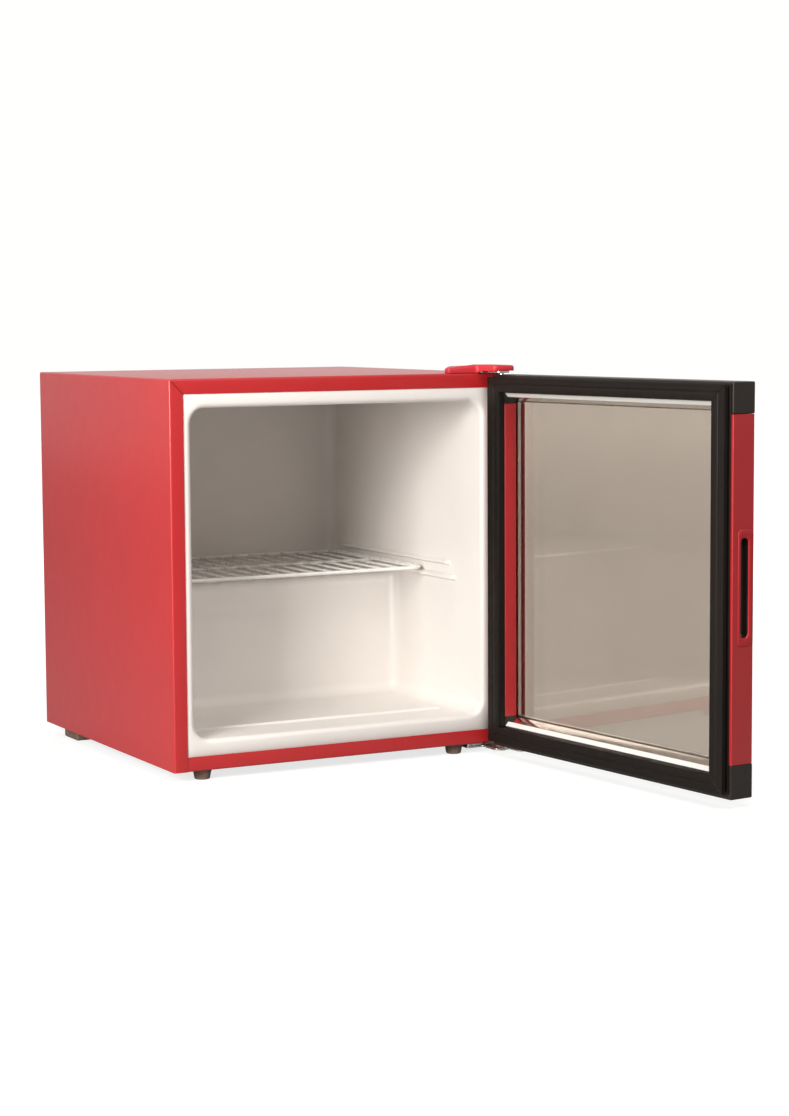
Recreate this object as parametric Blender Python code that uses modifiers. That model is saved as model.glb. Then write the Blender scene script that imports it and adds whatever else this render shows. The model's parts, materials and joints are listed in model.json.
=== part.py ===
"""Table-top drinks cooler with a framed glass door, modelled as it comes apart on a bench.

Units are metres and +Z is up.  Every piece is modelled in cabinet coordinates: x = 0 is the middle
of the cabinet, y = 0 its front face with +Y to the rear, z = 0 the underside of its steel skin.
An empty, cabinet_datum, then puts the bottom centre of the whole object at the world origin.
The door stands open, and its pieces hang from an empty on the hinge axis.
"""
import math

import bmesh
import bpy
from mathutils import Matrix, Vector

# ---- driving dimensions ---------------------------------------------------------------------
WIDTH = 0.472
DEPTH = 0.458
HEIGHT = 0.490
SKIN = 0.0008                # sheet steel
GAP = 0.0003                 # clearance between neighbouring pieces
FLANGE = 0.0185              # steel face of the cabinet around the doorway
FOOT_HEIGHT = 0.013

WALL = 0.0295                # side of the cabinet to the inside of the liner
LINER = 0.002
CAVITY_FLOOR = 0.039
CAVITY_TOP = 0.4535
CAVITY_BACK = 0.433
STEP_FRONT = 0.245           # the liner steps over the machine compartment here
STEP_TOP = 0.205
CAVITY_RADIUS = 0.016
STEP_INSULATION = 0.030
LINER_FLANGE_INSET = 0.007   # side of the cabinet to the edge of the liner's front flange
RIB_DEPTH = 0.007
RIB_BACK = 0.400
RIB_LEVELS = {"lower": (0.070, 0.2085, 0.2190), "upper": (0.085, 0.2285, 0.2375)}
FLOOR_BEAD_Y = (0.064, 0.074)
FLOOR_BEAD_HEIGHT = 0.003
PLATE_EDGE = 0.0014          # rear edge of the skin to the rear edge of the foam and plates

FRONT_FOOT_Y = 0.018
FRONT_FOOT_X = {"left": -0.191, "right": 0.172}
REAR_FOOT_X = 0.218
REAR_FOOT_Y = (0.356, 0.404)
REAR_FOOT_HALF_WIDTH = 0.012

THERMOSTAT_FACE = -0.176
THERMOSTAT_Y = (0.110, 0.205)
THERMOSTAT_Z = (0.384, 0.435)

DOOR_WIDTH = 0.470
DOOR_THICKNESS = 0.0336
DOOR_BOTTOM = -0.001
DOOR_TOP = 0.488
DOOR_OPEN = math.radians(96)
HINGE_EDGE_X = 0.2355        # hinge-side edge of the closed door
GASKET_SPACE = 0.0122        # closed door frame to the cabinet face
GASKET_THICKNESS = 0.0107
PIVOT_S = 0.0105             # hinge axis, from the hinge-side edge
PIVOT_T = 0.0080             # hinge axis, from the inner face of the door frame

STILE_WIDTH = 0.028
CAP_TOP_BOTTOM = 0.4504      # where the black end caps meet the stiles
CAP_BOTTOM_TOP = 0.0402
REVEAL_TOP = 0.4653
REVEAL_BOTTOM = 0.0270
GLASS_INNER = (0.0183, 0.0213)
GLASS_SPACER = (0.0216, 0.0282)
GLASS_OUTER = (0.0285, 0.0313)
GLASS_POCKET = (0.0180, 0.0316)
GLASS_EDGE = 0.0160          # stile edge to the glass pocket's bottom
FRONT_LIP = 0.031            # stile edge to the lip in front of the glass

SHELF_Z = 0.2218
SHELF_FRONT = 0.150
SHELF_BACK = 0.426
SHELF_HALF_WIDTH = 0.202
SHELF_FRAME_RADIUS = 0.0025
SHELF_WIRE_RADIUS = 0.0015
SHELF_WIRES = 16

PIN_RADIUS = 0.003
BUSH_RADIUS = 0.005
HINGE_PLATE = 0.0025
TOP_COVER_TOP = 0.5012
TOP_COVER_WALL = 0.0018
LOWER_PLATE_Z = -0.0060
BEZEL_T = (0.0086, 0.0322)   # finger recess in the free edge of the door
BEZEL_Z = (0.1792, 0.3172)
SLOT_T = (0.0129, 0.0251)
SLOT_Z = (0.1893, 0.3064)
CUP_T = (0.0115, 0.0259)
CUP_DEPTH = 0.0122
CUP_WALL = 0.0014

COIL_Y = 0.4680
COIL_RADIUS = 0.0024
COIL_PASSES = 11
COIL_LOW = 0.215
COIL_PITCH = 0.024
COIL_HALF_WIDTH = 0.185

COMPRESSOR_X = 0.060
COMPRESSOR_Y = 0.372
COMPRESSOR_RADIUS = 0.058
TRAY_FRONT = 0.290
TRAY_LIP_Y = 0.4500
TRAY_THICKNESS = 0.0015
GLAND_X = 0.190
GLAND_Z = 0.019
DRIER_X = -0.110
DRIER_Y = 0.440
DISCHARGE_X = 0.205

# ---- colours: name -> (colour, roughness, metallic) -------------------------------------------
FINISHES = {
    "red_paint": ((0.60, 0.055, 0.055), 0.35, 0.0),
    "red_plastic": ((0.55, 0.045, 0.045), 0.40, 0.0),
    "white_liner": ((0.86, 0.84, 0.80), 0.35, 0.0),
    "black_plastic": ((0.020, 0.016, 0.015), 0.45, 0.0),
    "gasket_rubber": ((0.018, 0.014, 0.013), 0.60, 0.0),
    "glass": ((0.70, 0.66, 0.60), 0.03, 0.0),
    "bright_trim": ((0.85, 0.85, 0.84), 0.12, 1.0),
    "aluminium": ((0.72, 0.72, 0.71), 0.35, 1.0),
    "zinc_steel": ((0.66, 0.66, 0.64), 0.30, 1.0),
    "white_wire": ((0.85, 0.84, 0.81), 0.35, 0.0),
    "foam": ((0.78, 0.70, 0.48), 0.90, 0.0),
    "galvanised": ((0.55, 0.56, 0.57), 0.45, 1.0),
    "black_enamel": ((0.015, 0.015, 0.016), 0.40, 0.0),
    "copper": ((0.72, 0.38, 0.22), 0.35, 1.0),
    "rubber": ((0.030, 0.028, 0.027), 0.80, 0.0),
    "foot_plastic": ((0.20, 0.17, 0.15), 0.60, 0.0),
    "white_plastic": ((0.82, 0.81, 0.78), 0.40, 0.0),
}


# ---- scene helpers --------------------------------------------------------------------------
def clear_scene():
    for obj in list(bpy.data.objects):
        bpy.data.objects.remove(obj, do_unlink=True)


def make_collection(name):
    collection = bpy.data.collections.new(name)
    bpy.context.scene.collection.children.link(collection)
    return collection


def make_material(name, colour, roughness, metallic):
    material = bpy.data.materials.new(name)
    material.use_nodes = True
    shader = material.node_tree.nodes["Principled BSDF"]
    shader.inputs["Base Color"].default_value = (*colour, 1.0)
    shader.inputs["Roughness"].default_value = roughness
    shader.inputs["Metallic"].default_value = metallic
    return material


def make_empty(name, parent=None, location=(0, 0, 0), turn=0.0):
    empty = bpy.data.objects.new(name, None)
    PARTS.objects.link(empty)
    empty.parent = parent
    empty.location = location
    empty.rotation_euler = (0, 0, turn)
    return empty


def place(obj, finish, parent, location=(0, 0, 0), rotation=(0, 0, 0)):
    """Put an object in its collection; with no finish it is a cutter or a joined piece."""
    if finish is None:
        CUTTERS.objects.link(obj)
        obj.hide_render = True
        obj.display_type = "WIRE"
    else:
        PARTS.objects.link(obj)
        obj.data.materials.append(MATERIALS[finish])
    obj.parent = parent
    obj.location = location
    obj.rotation_euler = rotation
    return obj


def add_bevel(obj, width, segments=2):
    bevel = obj.modifiers.new("rounded edges", "BEVEL")
    bevel.width = width
    bevel.segments = segments
    bevel.limit_method = "ANGLE"
    bevel.angle_limit = math.radians(40)
    return obj


def smooth(obj, angle=35):
    obj.data.shade_smooth()
    obj.data.set_sharp_from_angle(angle=math.radians(angle))
    return obj


def box(name, low, high, finish=None, bevel=0.0, segments=2, parent=None):
    """A box between two corners, with its origin at its centre."""
    size = [high[i] - low[i] for i in range(3)]
    mesh = bpy.data.meshes.new(name)
    solid = bmesh.new()
    bmesh.ops.create_cube(solid, size=1.0)
    bmesh.ops.scale(solid, vec=size, verts=solid.verts)
    solid.to_mesh(mesh)
    solid.free()
    obj = bpy.data.objects.new(name, mesh)
    centre = [(high[i] + low[i]) / 2 for i in range(3)]
    place(obj, finish, parent or DATUM, centre)
    if bevel:
        add_bevel(obj, bevel, segments)
    return obj


def cylinder(name, centre, radius, length, finish=None, axis="Z", sides=24, parent=None):
    """A cylinder on one of the axes, with its origin at its centre."""
    mesh = bpy.data.meshes.new(name)
    solid = bmesh.new()
    bmesh.ops.create_cone(
        solid, cap_ends=True, segments=sides, radius1=radius, radius2=radius, depth=length
    )
    solid.to_mesh(mesh)
    solid.free()
    obj = bpy.data.objects.new(name, mesh)
    turns = {"X": (0, math.pi / 2, 0), "Y": (math.pi / 2, 0, 0), "Z": (0, 0, 0)}
    place(obj, finish, parent or DATUM, centre, turns[axis])
    return smooth(obj)


def lathe(name, profile, centre, finish=None, axis="Z", steps=24, parent=None):
    """A turned solid: profile holds (radius, height) pairs from the top to the bottom."""
    mesh = bpy.data.meshes.new(name)
    edges = [(i, i + 1) for i in range(len(profile) - 1)]
    mesh.from_pydata([(radius, 0, height) for radius, height in profile], edges, [])
    obj = bpy.data.objects.new(name, mesh)
    turns = {"X": (0, math.pi / 2, 0), "Y": (math.pi / 2, 0, 0), "Z": (0, 0, 0)}
    place(obj, finish, parent or DATUM, centre, turns[axis])
    screw = obj.modifiers.new("turned", "SCREW")
    screw.steps = steps
    screw.render_steps = steps
    screw.use_merge_vertices = True
    screw.merge_threshold = 0.00001
    screw.use_smooth_shade = True
    return obj


def curve_object(name, point_lists, cyclic, flat):
    curve = bpy.data.curves.new(name, "CURVE")
    curve.dimensions = "2D" if flat else "3D"
    for points in point_lists:
        spline = curve.splines.new("POLY")
        spline.points.add(len(points) - 1)
        for point, position in zip(spline.points, points):
            point.co = (*position, 0.0, 1.0) if flat else (*position, 1.0)
        spline.use_cyclic_u = cyclic
    return bpy.data.objects.new(name, curve)


def tube(name, points, radius, finish=None, cyclic=False, resolution=2, parent=None):
    """A round wire or pipe along a list of points."""
    obj = curve_object(name, [points], cyclic, flat=False)
    obj.data.bevel_depth = radius
    obj.data.bevel_resolution = resolution
    obj.data.use_fill_caps = not cyclic
    return place(obj, finish, parent or DATUM)


def outline(name, points, span, finish=None, axis="Z", parent=None):
    """A flat outline pushed through a span along an axis.

    The points are (x, y) for axis Z, (x, z) for axis Y and (y, z) for axis X.
    """
    obj = curve_object(name, [points], True, flat=True)
    obj.data.fill_mode = "BOTH"
    obj.data.extrude = (span[1] - span[0]) / 2
    middle = (span[1] + span[0]) / 2
    if axis == "Z":
        return place(obj, finish, parent or DATUM, (0, 0, middle))
    if axis == "Y":
        return place(obj, finish, parent or DATUM, (0, middle, 0), (math.pi / 2, 0, 0))
    return place(obj, finish, parent or DATUM, (middle, 0, 0), (math.pi / 2, 0, math.pi / 2))


def to_mesh(obj):
    """Turn a curve object into a mesh object with welded caps."""
    bpy.context.view_layer.update()
    graph = bpy.context.evaluated_depsgraph_get()
    mesh = bpy.data.meshes.new_from_object(obj.evaluated_get(graph))
    solid = bmesh.new()
    solid.from_mesh(mesh)
    bmesh.ops.remove_doubles(solid, verts=solid.verts, dist=0.00001)
    solid.to_mesh(mesh)
    solid.free()
    name = obj.name
    parent = obj.parent
    matrix = obj.matrix_world.copy()
    collection = obj.users_collection[0]
    old = obj.data
    bpy.data.objects.remove(obj, do_unlink=True)
    bpy.data.curves.remove(old)
    result = bpy.data.objects.new(name, mesh)
    collection.objects.link(result)
    result.parent = parent
    result.matrix_world = matrix
    result.hide_render = collection == CUTTERS
    result.display_type = "WIRE" if collection == CUTTERS else "TEXTURED"
    return result


def combine(target, others, operation):
    for other in others:
        boolean = target.modifiers.new(other.name, "BOOLEAN")
        boolean.operation = operation
        boolean.object = other
    return target


def cut(target, *cutters):
    return combine(target, cutters, "DIFFERENCE")


def join(target, *pieces):
    return combine(target, pieces, "UNION")


def rounded_rectangle(low, high, radius, steps=4):
    """Outline of a rectangle with round corners, anticlockwise."""
    centres = [
        (high[0] - radius, high[1] - radius, 0),
        (low[0] + radius, high[1] - radius, 90),
        (low[0] + radius, low[1] + radius, 180),
        (high[0] - radius, low[1] + radius, 270),
    ]
    points = []
    for x, y, start in centres:
        for step in range(steps + 1):
            angle = math.radians(start + 90 * step / steps)
            points.append((x + radius * math.cos(angle), y + radius * math.sin(angle)))
    return points


def rounded_path(corners, radius, steps=4):
    """An open path through corner points with each inner corner rounded to an arc."""
    points = [Vector(corners[0])]
    for before, corner, after in zip(corners, corners[1:], corners[2:]):
        corner = Vector(corner)
        start = corner + (Vector(before) - corner).normalized() * radius
        end = corner + (Vector(after) - corner).normalized() * radius
        for step in range(steps + 1):
            along = step / steps
            points.append((1 - along) ** 2 * start + 2 * along * (1 - along) * corner + along ** 2 * end)
    points.append(Vector(corners[-1]))
    return [tuple(point) for point in points]


# ---- cabinet --------------------------------------------------------------------------------
def cavity_block(name, grow):
    """The food space as a rounded block with its step, grown all round and long at the front."""
    front = -0.040
    points = [
        (front, CAVITY_FLOOR - grow),
        (STEP_FRONT + grow, CAVITY_FLOOR - grow),
        (STEP_FRONT + grow, STEP_TOP - grow),
        (CAVITY_BACK + grow, STEP_TOP - grow),
        (CAVITY_BACK + grow, CAVITY_TOP + grow),
        (front, CAVITY_TOP + grow),
    ]
    half = WIDTH / 2 - WALL + grow
    block = to_mesh(outline(name, points, (-half, half), axis="X"))
    return add_bevel(block, CAVITY_RADIUS + grow, segments=4)


def make_outer_wrapper():
    """Painted steel skin: two sides, top and the folded face around the doorway."""
    half = WIDTH / 2
    spare = 0.010
    beyond = half + spare
    rear = DEPTH + spare
    opening = half - FLANGE
    wrapper = box("outer_wrapper", (-half, 0, -spare), (half, rear, HEIGHT), "red_paint", bevel=0.0018)
    inside_low = (SKIN - half, SKIN, -2 * spare)
    inside_high = (half - SKIN, rear + spare, HEIGHT - SKIN)
    doorway_low = (-opening, -spare, -2 * spare)
    doorway_high = (opening, spare, HEIGHT - FLANGE)
    return cut(
        wrapper,
        box("wrapper_inside", inside_low, inside_high),
        box("wrapper_doorway", doorway_low, doorway_high),
        box("wrapper_rear_trim", (-beyond, DEPTH, -3 * spare), (beyond, rear + spare, HEIGHT + spare)),
        box("wrapper_bottom_trim", (-beyond, -spare, -3 * spare), (beyond, rear + spare, 0)),
    )


def make_front_rail():
    """Painted rail under the doorway, butted between the two side faces of the skin."""
    half = WIDTH / 2 - FLANGE - GAP
    points = [(0, 0), (0.020, 0), (0.020, SKIN), (SKIN, SKIN), (SKIN, FLANGE), (0, FLANGE)]
    return outline("bottom_front_rail", points, (-half, half), "red_paint", axis="X")


def make_inner_liner():
    """Vacuum-formed white liner with its front flange, shelf ribs and floor bead."""
    front = SKIN + GAP
    half = WIDTH / 2 - LINER_FLANGE_INSET
    flange_low = (-half, front, 0.008)
    flange_high = (half, front + LINER, HEIGHT - 0.008)
    liner = box("inner_liner", flange_low, flange_high, "white_liner")
    shell = cavity_block("liner_shell", LINER)
    hollow = cavity_block("liner_hollow", 0.0)
    trim = box("liner_front_trim", (-0.3, -0.1, -0.1), (0.3, front, 0.6))
    join(liner, shell)
    cut(liner, hollow, trim)
    wall = WIDTH / 2 - WALL
    mid_wall = cavity_block("liner_mid_wall", LINER / 2)
    for side, sign in (("left", -1), ("right", 1)):
        near, far = sorted((sign * (wall - RIB_DEPTH), sign * (wall + LINER / 2)))
        for level, (start, low, high) in RIB_LEVELS.items():
            name = f"rib_{level}_{side}"
            rib = box(name, (near, start, low), (far, RIB_BACK, high), bevel=0.002, segments=1)
            combine(rib, [mid_wall], "INTERSECT")
            join(liner, rib)
    bead_low = (-0.185, FLOOR_BEAD_Y[0], CAVITY_FLOOR - LINER / 2)
    bead_high = (0.185, FLOOR_BEAD_Y[1], CAVITY_FLOOR + FLOOR_BEAD_HEIGHT)
    join(liner, box("floor_bead", bead_low, bead_high, bevel=0.001, segments=1))
    return liner


def make_insulation():
    """Foam block between the skin and the liner, cut away for the machine compartment."""
    half = WIDTH / 2 - SKIN - GAP
    low = (-half, SKIN + 2 * GAP + LINER, PLATE_EDGE)
    high = (half, DEPTH - PLATE_EDGE, HEIGHT - SKIN - GAP)
    foam = box("insulation_foam", low, high, "foam")
    hollow = cavity_block("foam_hollow", LINER + 4 * GAP)
    bay_front = STEP_FRONT + STEP_INSULATION - GAP
    bay_top = STEP_TOP - STEP_INSULATION + SKIN + GAP
    compartment = box("foam_compartment", (-0.3, bay_front, -0.1), (0.3, 0.6, bay_top))
    pocket = box("foam_evaporator_pocket", (-0.1803, CAVITY_BACK, 0.2247), (0.1803, 0.4372, 0.4303))
    return cut(foam, hollow, compartment, pocket)


def make_cabinet_plates():
    half = WIDTH / 2 - SKIN - GAP
    step_y = STEP_FRONT + STEP_INSULATION
    step_z = STEP_TOP - STEP_INSULATION
    box("base_plate", (-half, 0.0203, GAP), (half, step_y - 2 * GAP, GAP + SKIN), "galvanised")
    points = [
        (step_y, GAP),
        (step_y + SKIN, GAP),
        (step_y + SKIN, step_z),
        (DEPTH - PLATE_EDGE, step_z),
        (DEPTH - PLATE_EDGE, step_z + SKIN),
        (step_y, step_z + SKIN),
    ]
    outline("compartment_plate", points, (-half, half), "galvanised", axis="X")
    panel_low = (-half, DEPTH - GAP - SKIN, step_z)
    panel_high = (half, DEPTH - GAP, HEIGHT - SKIN - GAP)
    box("back_panel", panel_low, panel_high, "galvanised")
    evaporator_low = (-0.180, CAVITY_BACK + LINER + GAP, 0.225)
    box("evaporator_plate", evaporator_low, (0.180, 0.4369, 0.430), "aluminium")


def make_feet():
    profile = [(0, -GAP), (0.0120, -GAP), (0.0120, -0.004), (0.0112, -0.0045), (0.0112, -0.0085),
               (0.0106, -0.009), (0.0104, -FOOT_HEIGHT), (0, -FOOT_HEIGHT)]
    for side, sign in (("left", -1), ("right", 1)):
        centre = (FRONT_FOOT_X[side], FRONT_FOOT_Y, 0)
        lathe(f"front_{side}_foot", profile, centre, "foot_plastic", steps=20)
        low = (sign * REAR_FOOT_X - REAR_FOOT_HALF_WIDTH, REAR_FOOT_Y[0], -FOOT_HEIGHT)
        high = (sign * REAR_FOOT_X + REAR_FOOT_HALF_WIDTH, REAR_FOOT_Y[1], -GAP)
        box(f"rear_{side}_foot", low, high, "foot_plastic", bevel=0.0015)


def make_thermostat():
    wall = -(WIDTH / 2 - WALL) + GAP
    low = (wall, THERMOSTAT_Y[0], THERMOSTAT_Z[0])
    high = (THERMOSTAT_FACE, THERMOSTAT_Y[1], THERMOSTAT_Z[1])
    box("thermostat_housing", low, high, "white_plastic", bevel=0.004)
    face = THERMOSTAT_FACE + GAP
    knob_profile = [(0, 0.0145), (0.0130, 0.0145), (0.0145, 0.0130), (0.0165, 0.002), (0.0165, 0), (0, 0)]
    centre = (face, sum(THERMOSTAT_Y) / 2, sum(THERMOSTAT_Z) / 2)
    knob = lathe("thermostat_knob", knob_profile, centre, "white_plastic", axis="X", steps=24)
    grip_low = (face + 0.012, centre[1] - 0.0022, centre[2] - 0.0125)
    grip_high = (face + 0.020, centre[1] + 0.0022, centre[2] + 0.0125)
    join(knob, box("knob_grip", grip_low, grip_high, bevel=0.001, segments=1))


# ---- shelf ----------------------------------------------------------------------------------
def make_shelf():
    """White wire shelf: round frame, straight wires over it and one bar underneath."""
    low = (-SHELF_HALF_WIDTH, SHELF_FRONT)
    high = (SHELF_HALF_WIDTH, SHELF_BACK)
    frame = [(x, y, SHELF_Z) for x, y in rounded_rectangle(low, high, 0.022)]
    shelf = tube("wire_shelf", frame, SHELF_FRAME_RADIUS, "white_wire", cyclic=True, resolution=1)
    shelf = to_mesh(shelf)
    outer_wire = SHELF_HALF_WIDTH - 0.010
    pitch = 2 * outer_wire / (SHELF_WIRES - 1)
    middle = (SHELF_BACK + SHELF_FRONT) / 2
    for index in range(SHELF_WIRES):
        inset = 0.0035 if index in (0, SHELF_WIRES - 1) else 0.0
        centre = (pitch * index - outer_wire, middle, SHELF_Z + 0.0002)
        length = SHELF_BACK - SHELF_FRONT - 2 * inset
        name = f"shelf_wire_{index + 1}"
        join(shelf, cylinder(name, centre, SHELF_WIRE_RADIUS, length, axis="Y", sides=6))
    bar_length = 2 * (SHELF_HALF_WIDTH - 0.006)
    join(shelf, cylinder("shelf_bar", (0, 0.300, SHELF_Z - 0.0017), 0.0018, bar_length, axis="X", sides=6))
    return smooth(shelf)


# ---- machine compartment --------------------------------------------------------------------
def make_tray():
    """Floor of the machine compartment, with the gland that the supply cord would leave through."""
    half = WIDTH / 2 - SKIN - GAP
    rear = TRAY_LIP_Y + TRAY_THICKNESS
    tray = box("compressor_tray", (-half, TRAY_FRONT, GAP), (half, rear, GAP + TRAY_THICKNESS), "galvanised")
    lip = box("tray_lip", (0.140, TRAY_LIP_Y, GAP), (half, rear, 0.034))
    centre = (GLAND_X, TRAY_LIP_Y, GLAND_Z)
    cut(join(tray, lip), cylinder("gland_hole", centre, 0.0068, 0.020, axis="Y", sides=20))
    profile = [(0, 0.0095), (0.0095, 0.0095), (0.0095, 0.0070), (0.0065, 0.0070), (0.0065, -0.0080),
               (0, -0.0080)]
    seat = (GLAND_X, TRAY_LIP_Y - 0.0053, GLAND_Z)
    gland = lathe("cord_gland", profile, seat, "black_plastic", axis="Y", steps=20)
    gland.rotation_euler = (-math.pi / 2, 0, 0)
    cut(gland, cylinder("gland_bore", centre, 0.0036, 0.060, axis="Y", sides=16))


def make_compressor():
    """Welded compressor shell on its base plate and four grommets, with its relay and drip pan."""
    radius = COMPRESSOR_RADIUS
    x, y = COMPRESSOR_X, COMPRESSOR_Y
    arc = [math.radians(90 * step / 5) for step in range(6)]
    dome = [(radius * math.sin(angle), 0.108 + 0.040 * math.cos(angle)) for angle in arc]
    seam = [(radius, 0.086), (radius + 0.003, 0.084), (radius + 0.003, 0.080), (radius, 0.078)]
    bowl = [(radius * math.cos(angle), 0.052 - 0.0339 * math.sin(angle)) for angle in arc]
    bowl[-1] = (0, bowl[-1][1])
    lathe("compressor", dome + seam + bowl, (x, y, 0), "black_enamel", steps=28)
    box("compressor_base", (x - 0.075, y - 0.045, 0.0158), (x + 0.075, y + 0.045, 0.0178), "black_enamel")
    profile = [(0, 0.0155), (0.009, 0.0155), (0.009, 0.0125), (0.011, 0.0115), (0.011, 0.0021), (0, 0.0021)]
    corners = {"front_left": (-1, -1), "front_right": (1, -1), "rear_left": (-1, 1), "rear_right": (1, 1)}
    for corner, (sign_x, sign_y) in corners.items():
        centre = (x + 0.062 * sign_x, y + 0.033 * sign_y, 0)
        lathe(f"grommet_{corner}", profile, centre, "rubber", steps=16)
    edge = x + radius + 0.0034
    relay_low = (edge, y - 0.022, 0.050)
    relay_high = (edge + 0.028, y + 0.022, 0.105)
    box("start_relay_cover", relay_low, relay_high, "black_plastic", bevel=0.003)
    pan_low = (x - 0.065, y - 0.050, 0.1486)
    pan_high = (x + 0.065, y + 0.050, 0.1680)
    pan = box("drip_pan", pan_low, pan_high, "white_plastic", bevel=0.003)
    inside_low = [value + 0.002 for value in pan_low]
    cut(pan, box("drip_pan_inside", inside_low, (pan_high[0] - 0.002, pan_high[1] - 0.002, 0.2)))


def make_pipework():
    """Filter drier and the copper tubes that join the compressor, condenser and evaporator."""
    x, y = DRIER_X, DRIER_Y
    half_drier = [(0, 0.047), (0.003, 0.047), (0.0035, 0.039), (0.009, 0.031)]
    drier = [(radius, 0.101 + height) for radius, height in half_drier]
    drier += [(radius, 0.101 - height) for radius, height in reversed(half_drier)]
    lathe("filter_drier", drier, (x, y, 0), "copper", steps=16)
    capillary = [(x, y, 0.0535), (x, y, 0.036), (-0.150, 0.420, 0.036), (-0.150, 0.300, 0.060),
                 (-0.150, 0.300, 0.1745)]
    tube("capillary_tube", rounded_path(capillary, 0.014, 3), 0.0012, "copper", resolution=1)
    shell_left = COMPRESSOR_X - COMPRESSOR_RADIUS - 2 * GAP
    suction = [(-0.060, 0.300, 0.1745), (-0.060, 0.300, 0.060), (-0.060, COMPRESSOR_Y, 0.060),
               (shell_left, COMPRESSOR_Y, 0.060)]
    tube("suction_tube", rounded_path(suction, 0.018, 3), 0.0032, "copper")
    outlet = (COMPRESSOR_X + 0.050, COMPRESSOR_Y + 0.034, 0.062)
    discharge = [outlet, (0.160, 0.425, 0.062), (DISCHARGE_X, 0.440, 0.100), (DISCHARGE_X, COIL_Y, 0.130),
                 (DISCHARGE_X, COIL_Y, 0.1897)]
    tube("discharge_tube", rounded_path(discharge, 0.016, 3), COIL_RADIUS, "copper")


def make_condenser():
    """Serpentine tube behind the cabinet, held by two upright bars."""
    turn_x = COIL_HALF_WIDTH + 0.006
    inlet_z = COIL_LOW - COIL_PITCH
    corners = [(DRIER_X, DRIER_Y, 0.1483), (DRIER_X, DRIER_Y, 0.162), (DRIER_X, COIL_Y, 0.162)]
    corners += [(DRIER_X, COIL_Y, inlet_z), (-turn_x, COIL_Y, inlet_z)]
    side = -1
    for row in range(COIL_PASSES):
        z = COIL_LOW + row * COIL_PITCH
        corners += [(side * turn_x, COIL_Y, z), (-side * turn_x, COIL_Y, z)]
        side = -side
    corners[-1] = (DISCHARGE_X, COIL_Y, corners[-1][2])
    corners.append((DISCHARGE_X, COIL_Y, 0.190))
    tube("condenser_coil", rounded_path(corners, 0.0095, 3), COIL_RADIUS, "black_enamel")
    bottom = COIL_LOW - 0.010
    top = COIL_LOW + (COIL_PASSES - 1) * COIL_PITCH + 0.010
    near = COIL_Y + COIL_RADIUS + GAP
    thickness = 0.0015
    for side, x in (("left", -0.130), ("right", 0.130)):
        name = f"condenser_bar_{side}"
        bar = box(name, (x - 0.008, near, bottom), (x + 0.008, near + thickness, top), "black_enamel")
        for end, z in (("lower", bottom), ("upper", top - 4 * thickness)):
            leg_low = (x - 0.008, DEPTH + 0.0001, z)
            leg_high = (x + 0.008, near + 0.001, z + thickness)
            join(bar, box(f"bar_{side}_{end}_leg", leg_low, leg_high))


# ---- hinges ---------------------------------------------------------------------------------
def hinge_axis():
    return HINGE_EDGE_X - PIVOT_S, -(GASKET_SPACE + PIVOT_T)


def hinge_plate(name, low, high, tongue_low, tongue_high, radius):
    """A zinc plate on the cabinet with a rounded tongue that holds the pin."""
    x, y = hinge_axis()
    plate = box(name, low, high, "zinc_steel", bevel=0.0008)
    span = (low[2], low[2] + HINGE_PLATE)
    tongue = to_mesh(outline(f"{name}_tongue", rounded_rectangle(tongue_low, tongue_high, radius), span))
    hole = cylinder(f"{name}_pin_hole", (x, y, low[2]), PIN_RADIUS + GAP, 0.020, sides=20)
    return cut(join(plate, tongue), hole)


def make_upper_hinge():
    """Plate and pin on top of the cabinet, under a moulded cover that bulges out over the pin."""
    x, y = hinge_axis()
    low = HEIGHT + GAP
    plate = hinge_plate("top_hinge_bracket", (0.162, -0.006, low), (0.233, 0.022, low + HINGE_PLATE),
                        (x - 0.010, y - 0.010), (x + 0.008, 0.010), 0.007)
    seat = low + HINGE_PLATE + GAP
    pin = [(0, seat + 0.0014), (0.0045, seat + 0.0014), (0.0050, seat + 0.0006), (0.0050, seat),
           (PIN_RADIUS, seat), (PIN_RADIUS, 0.4725), (0.0024, 0.4717), (0, 0.4717)]
    lathe("top_hinge_pin", pin, (x, y, 0), "zinc_steel", steps=20)
    outer = [(0.1575, 0.0004), (0.2000, 0.0004), (0.2060, y - 0.014), (0.2375, y - 0.014), (0.2375, 0.028),
             (0.1690, 0.0280), (0.1575, 0.0120)]
    inner = [(0.1595, 0.0024), (0.2015, 0.0024), (0.2080, y - 0.012), (0.2355, y - 0.012), (0.2355, 0.026),
             (0.1700, 0.0260), (0.1595, 0.0115)]
    cover = to_mesh(outline("top_hinge_cover", outer, (seat, TOP_COVER_TOP), "red_plastic"))
    add_bevel(cover, 0.0015)
    cut(cover, to_mesh(outline("cover_inside", inner, (0.48, TOP_COVER_TOP - TOP_COVER_WALL))))
    for side, screw_x in (("left", 0.172), ("right", 0.198)):
        make_hinge_screw(f"top_hinge_screw_{side}", (screw_x, 0.0115, seat), plate)


def make_lower_hinge():
    """Plate and pin under the cabinet's right front corner."""
    x, y = hinge_axis()
    low = LOWER_PLATE_Z
    plate = hinge_plate("bottom_hinge_bracket", (0.185, 0.003, low), (0.233, 0.040, -GAP),
                        (x - 0.016, y - 0.011), (x + 0.008, 0.012), 0.008)
    pin = [(0, 0.0142), (0.0024, 0.0142), (PIN_RADIUS, 0.0134), (PIN_RADIUS, low - GAP), (0.0050, low - GAP),
           (0.0050, low - 0.0016), (0, low - 0.0016)]
    lathe("bottom_hinge_pin", pin, (x, y, 0), "zinc_steel", steps=20)
    for side, screw_x in (("left", 0.195), ("right", 0.223)):
        seat = (screw_x, 0.028, low - GAP)
        make_hinge_screw(f"bottom_hinge_screw_{side}", seat, plate, upside_down=True)


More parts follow.
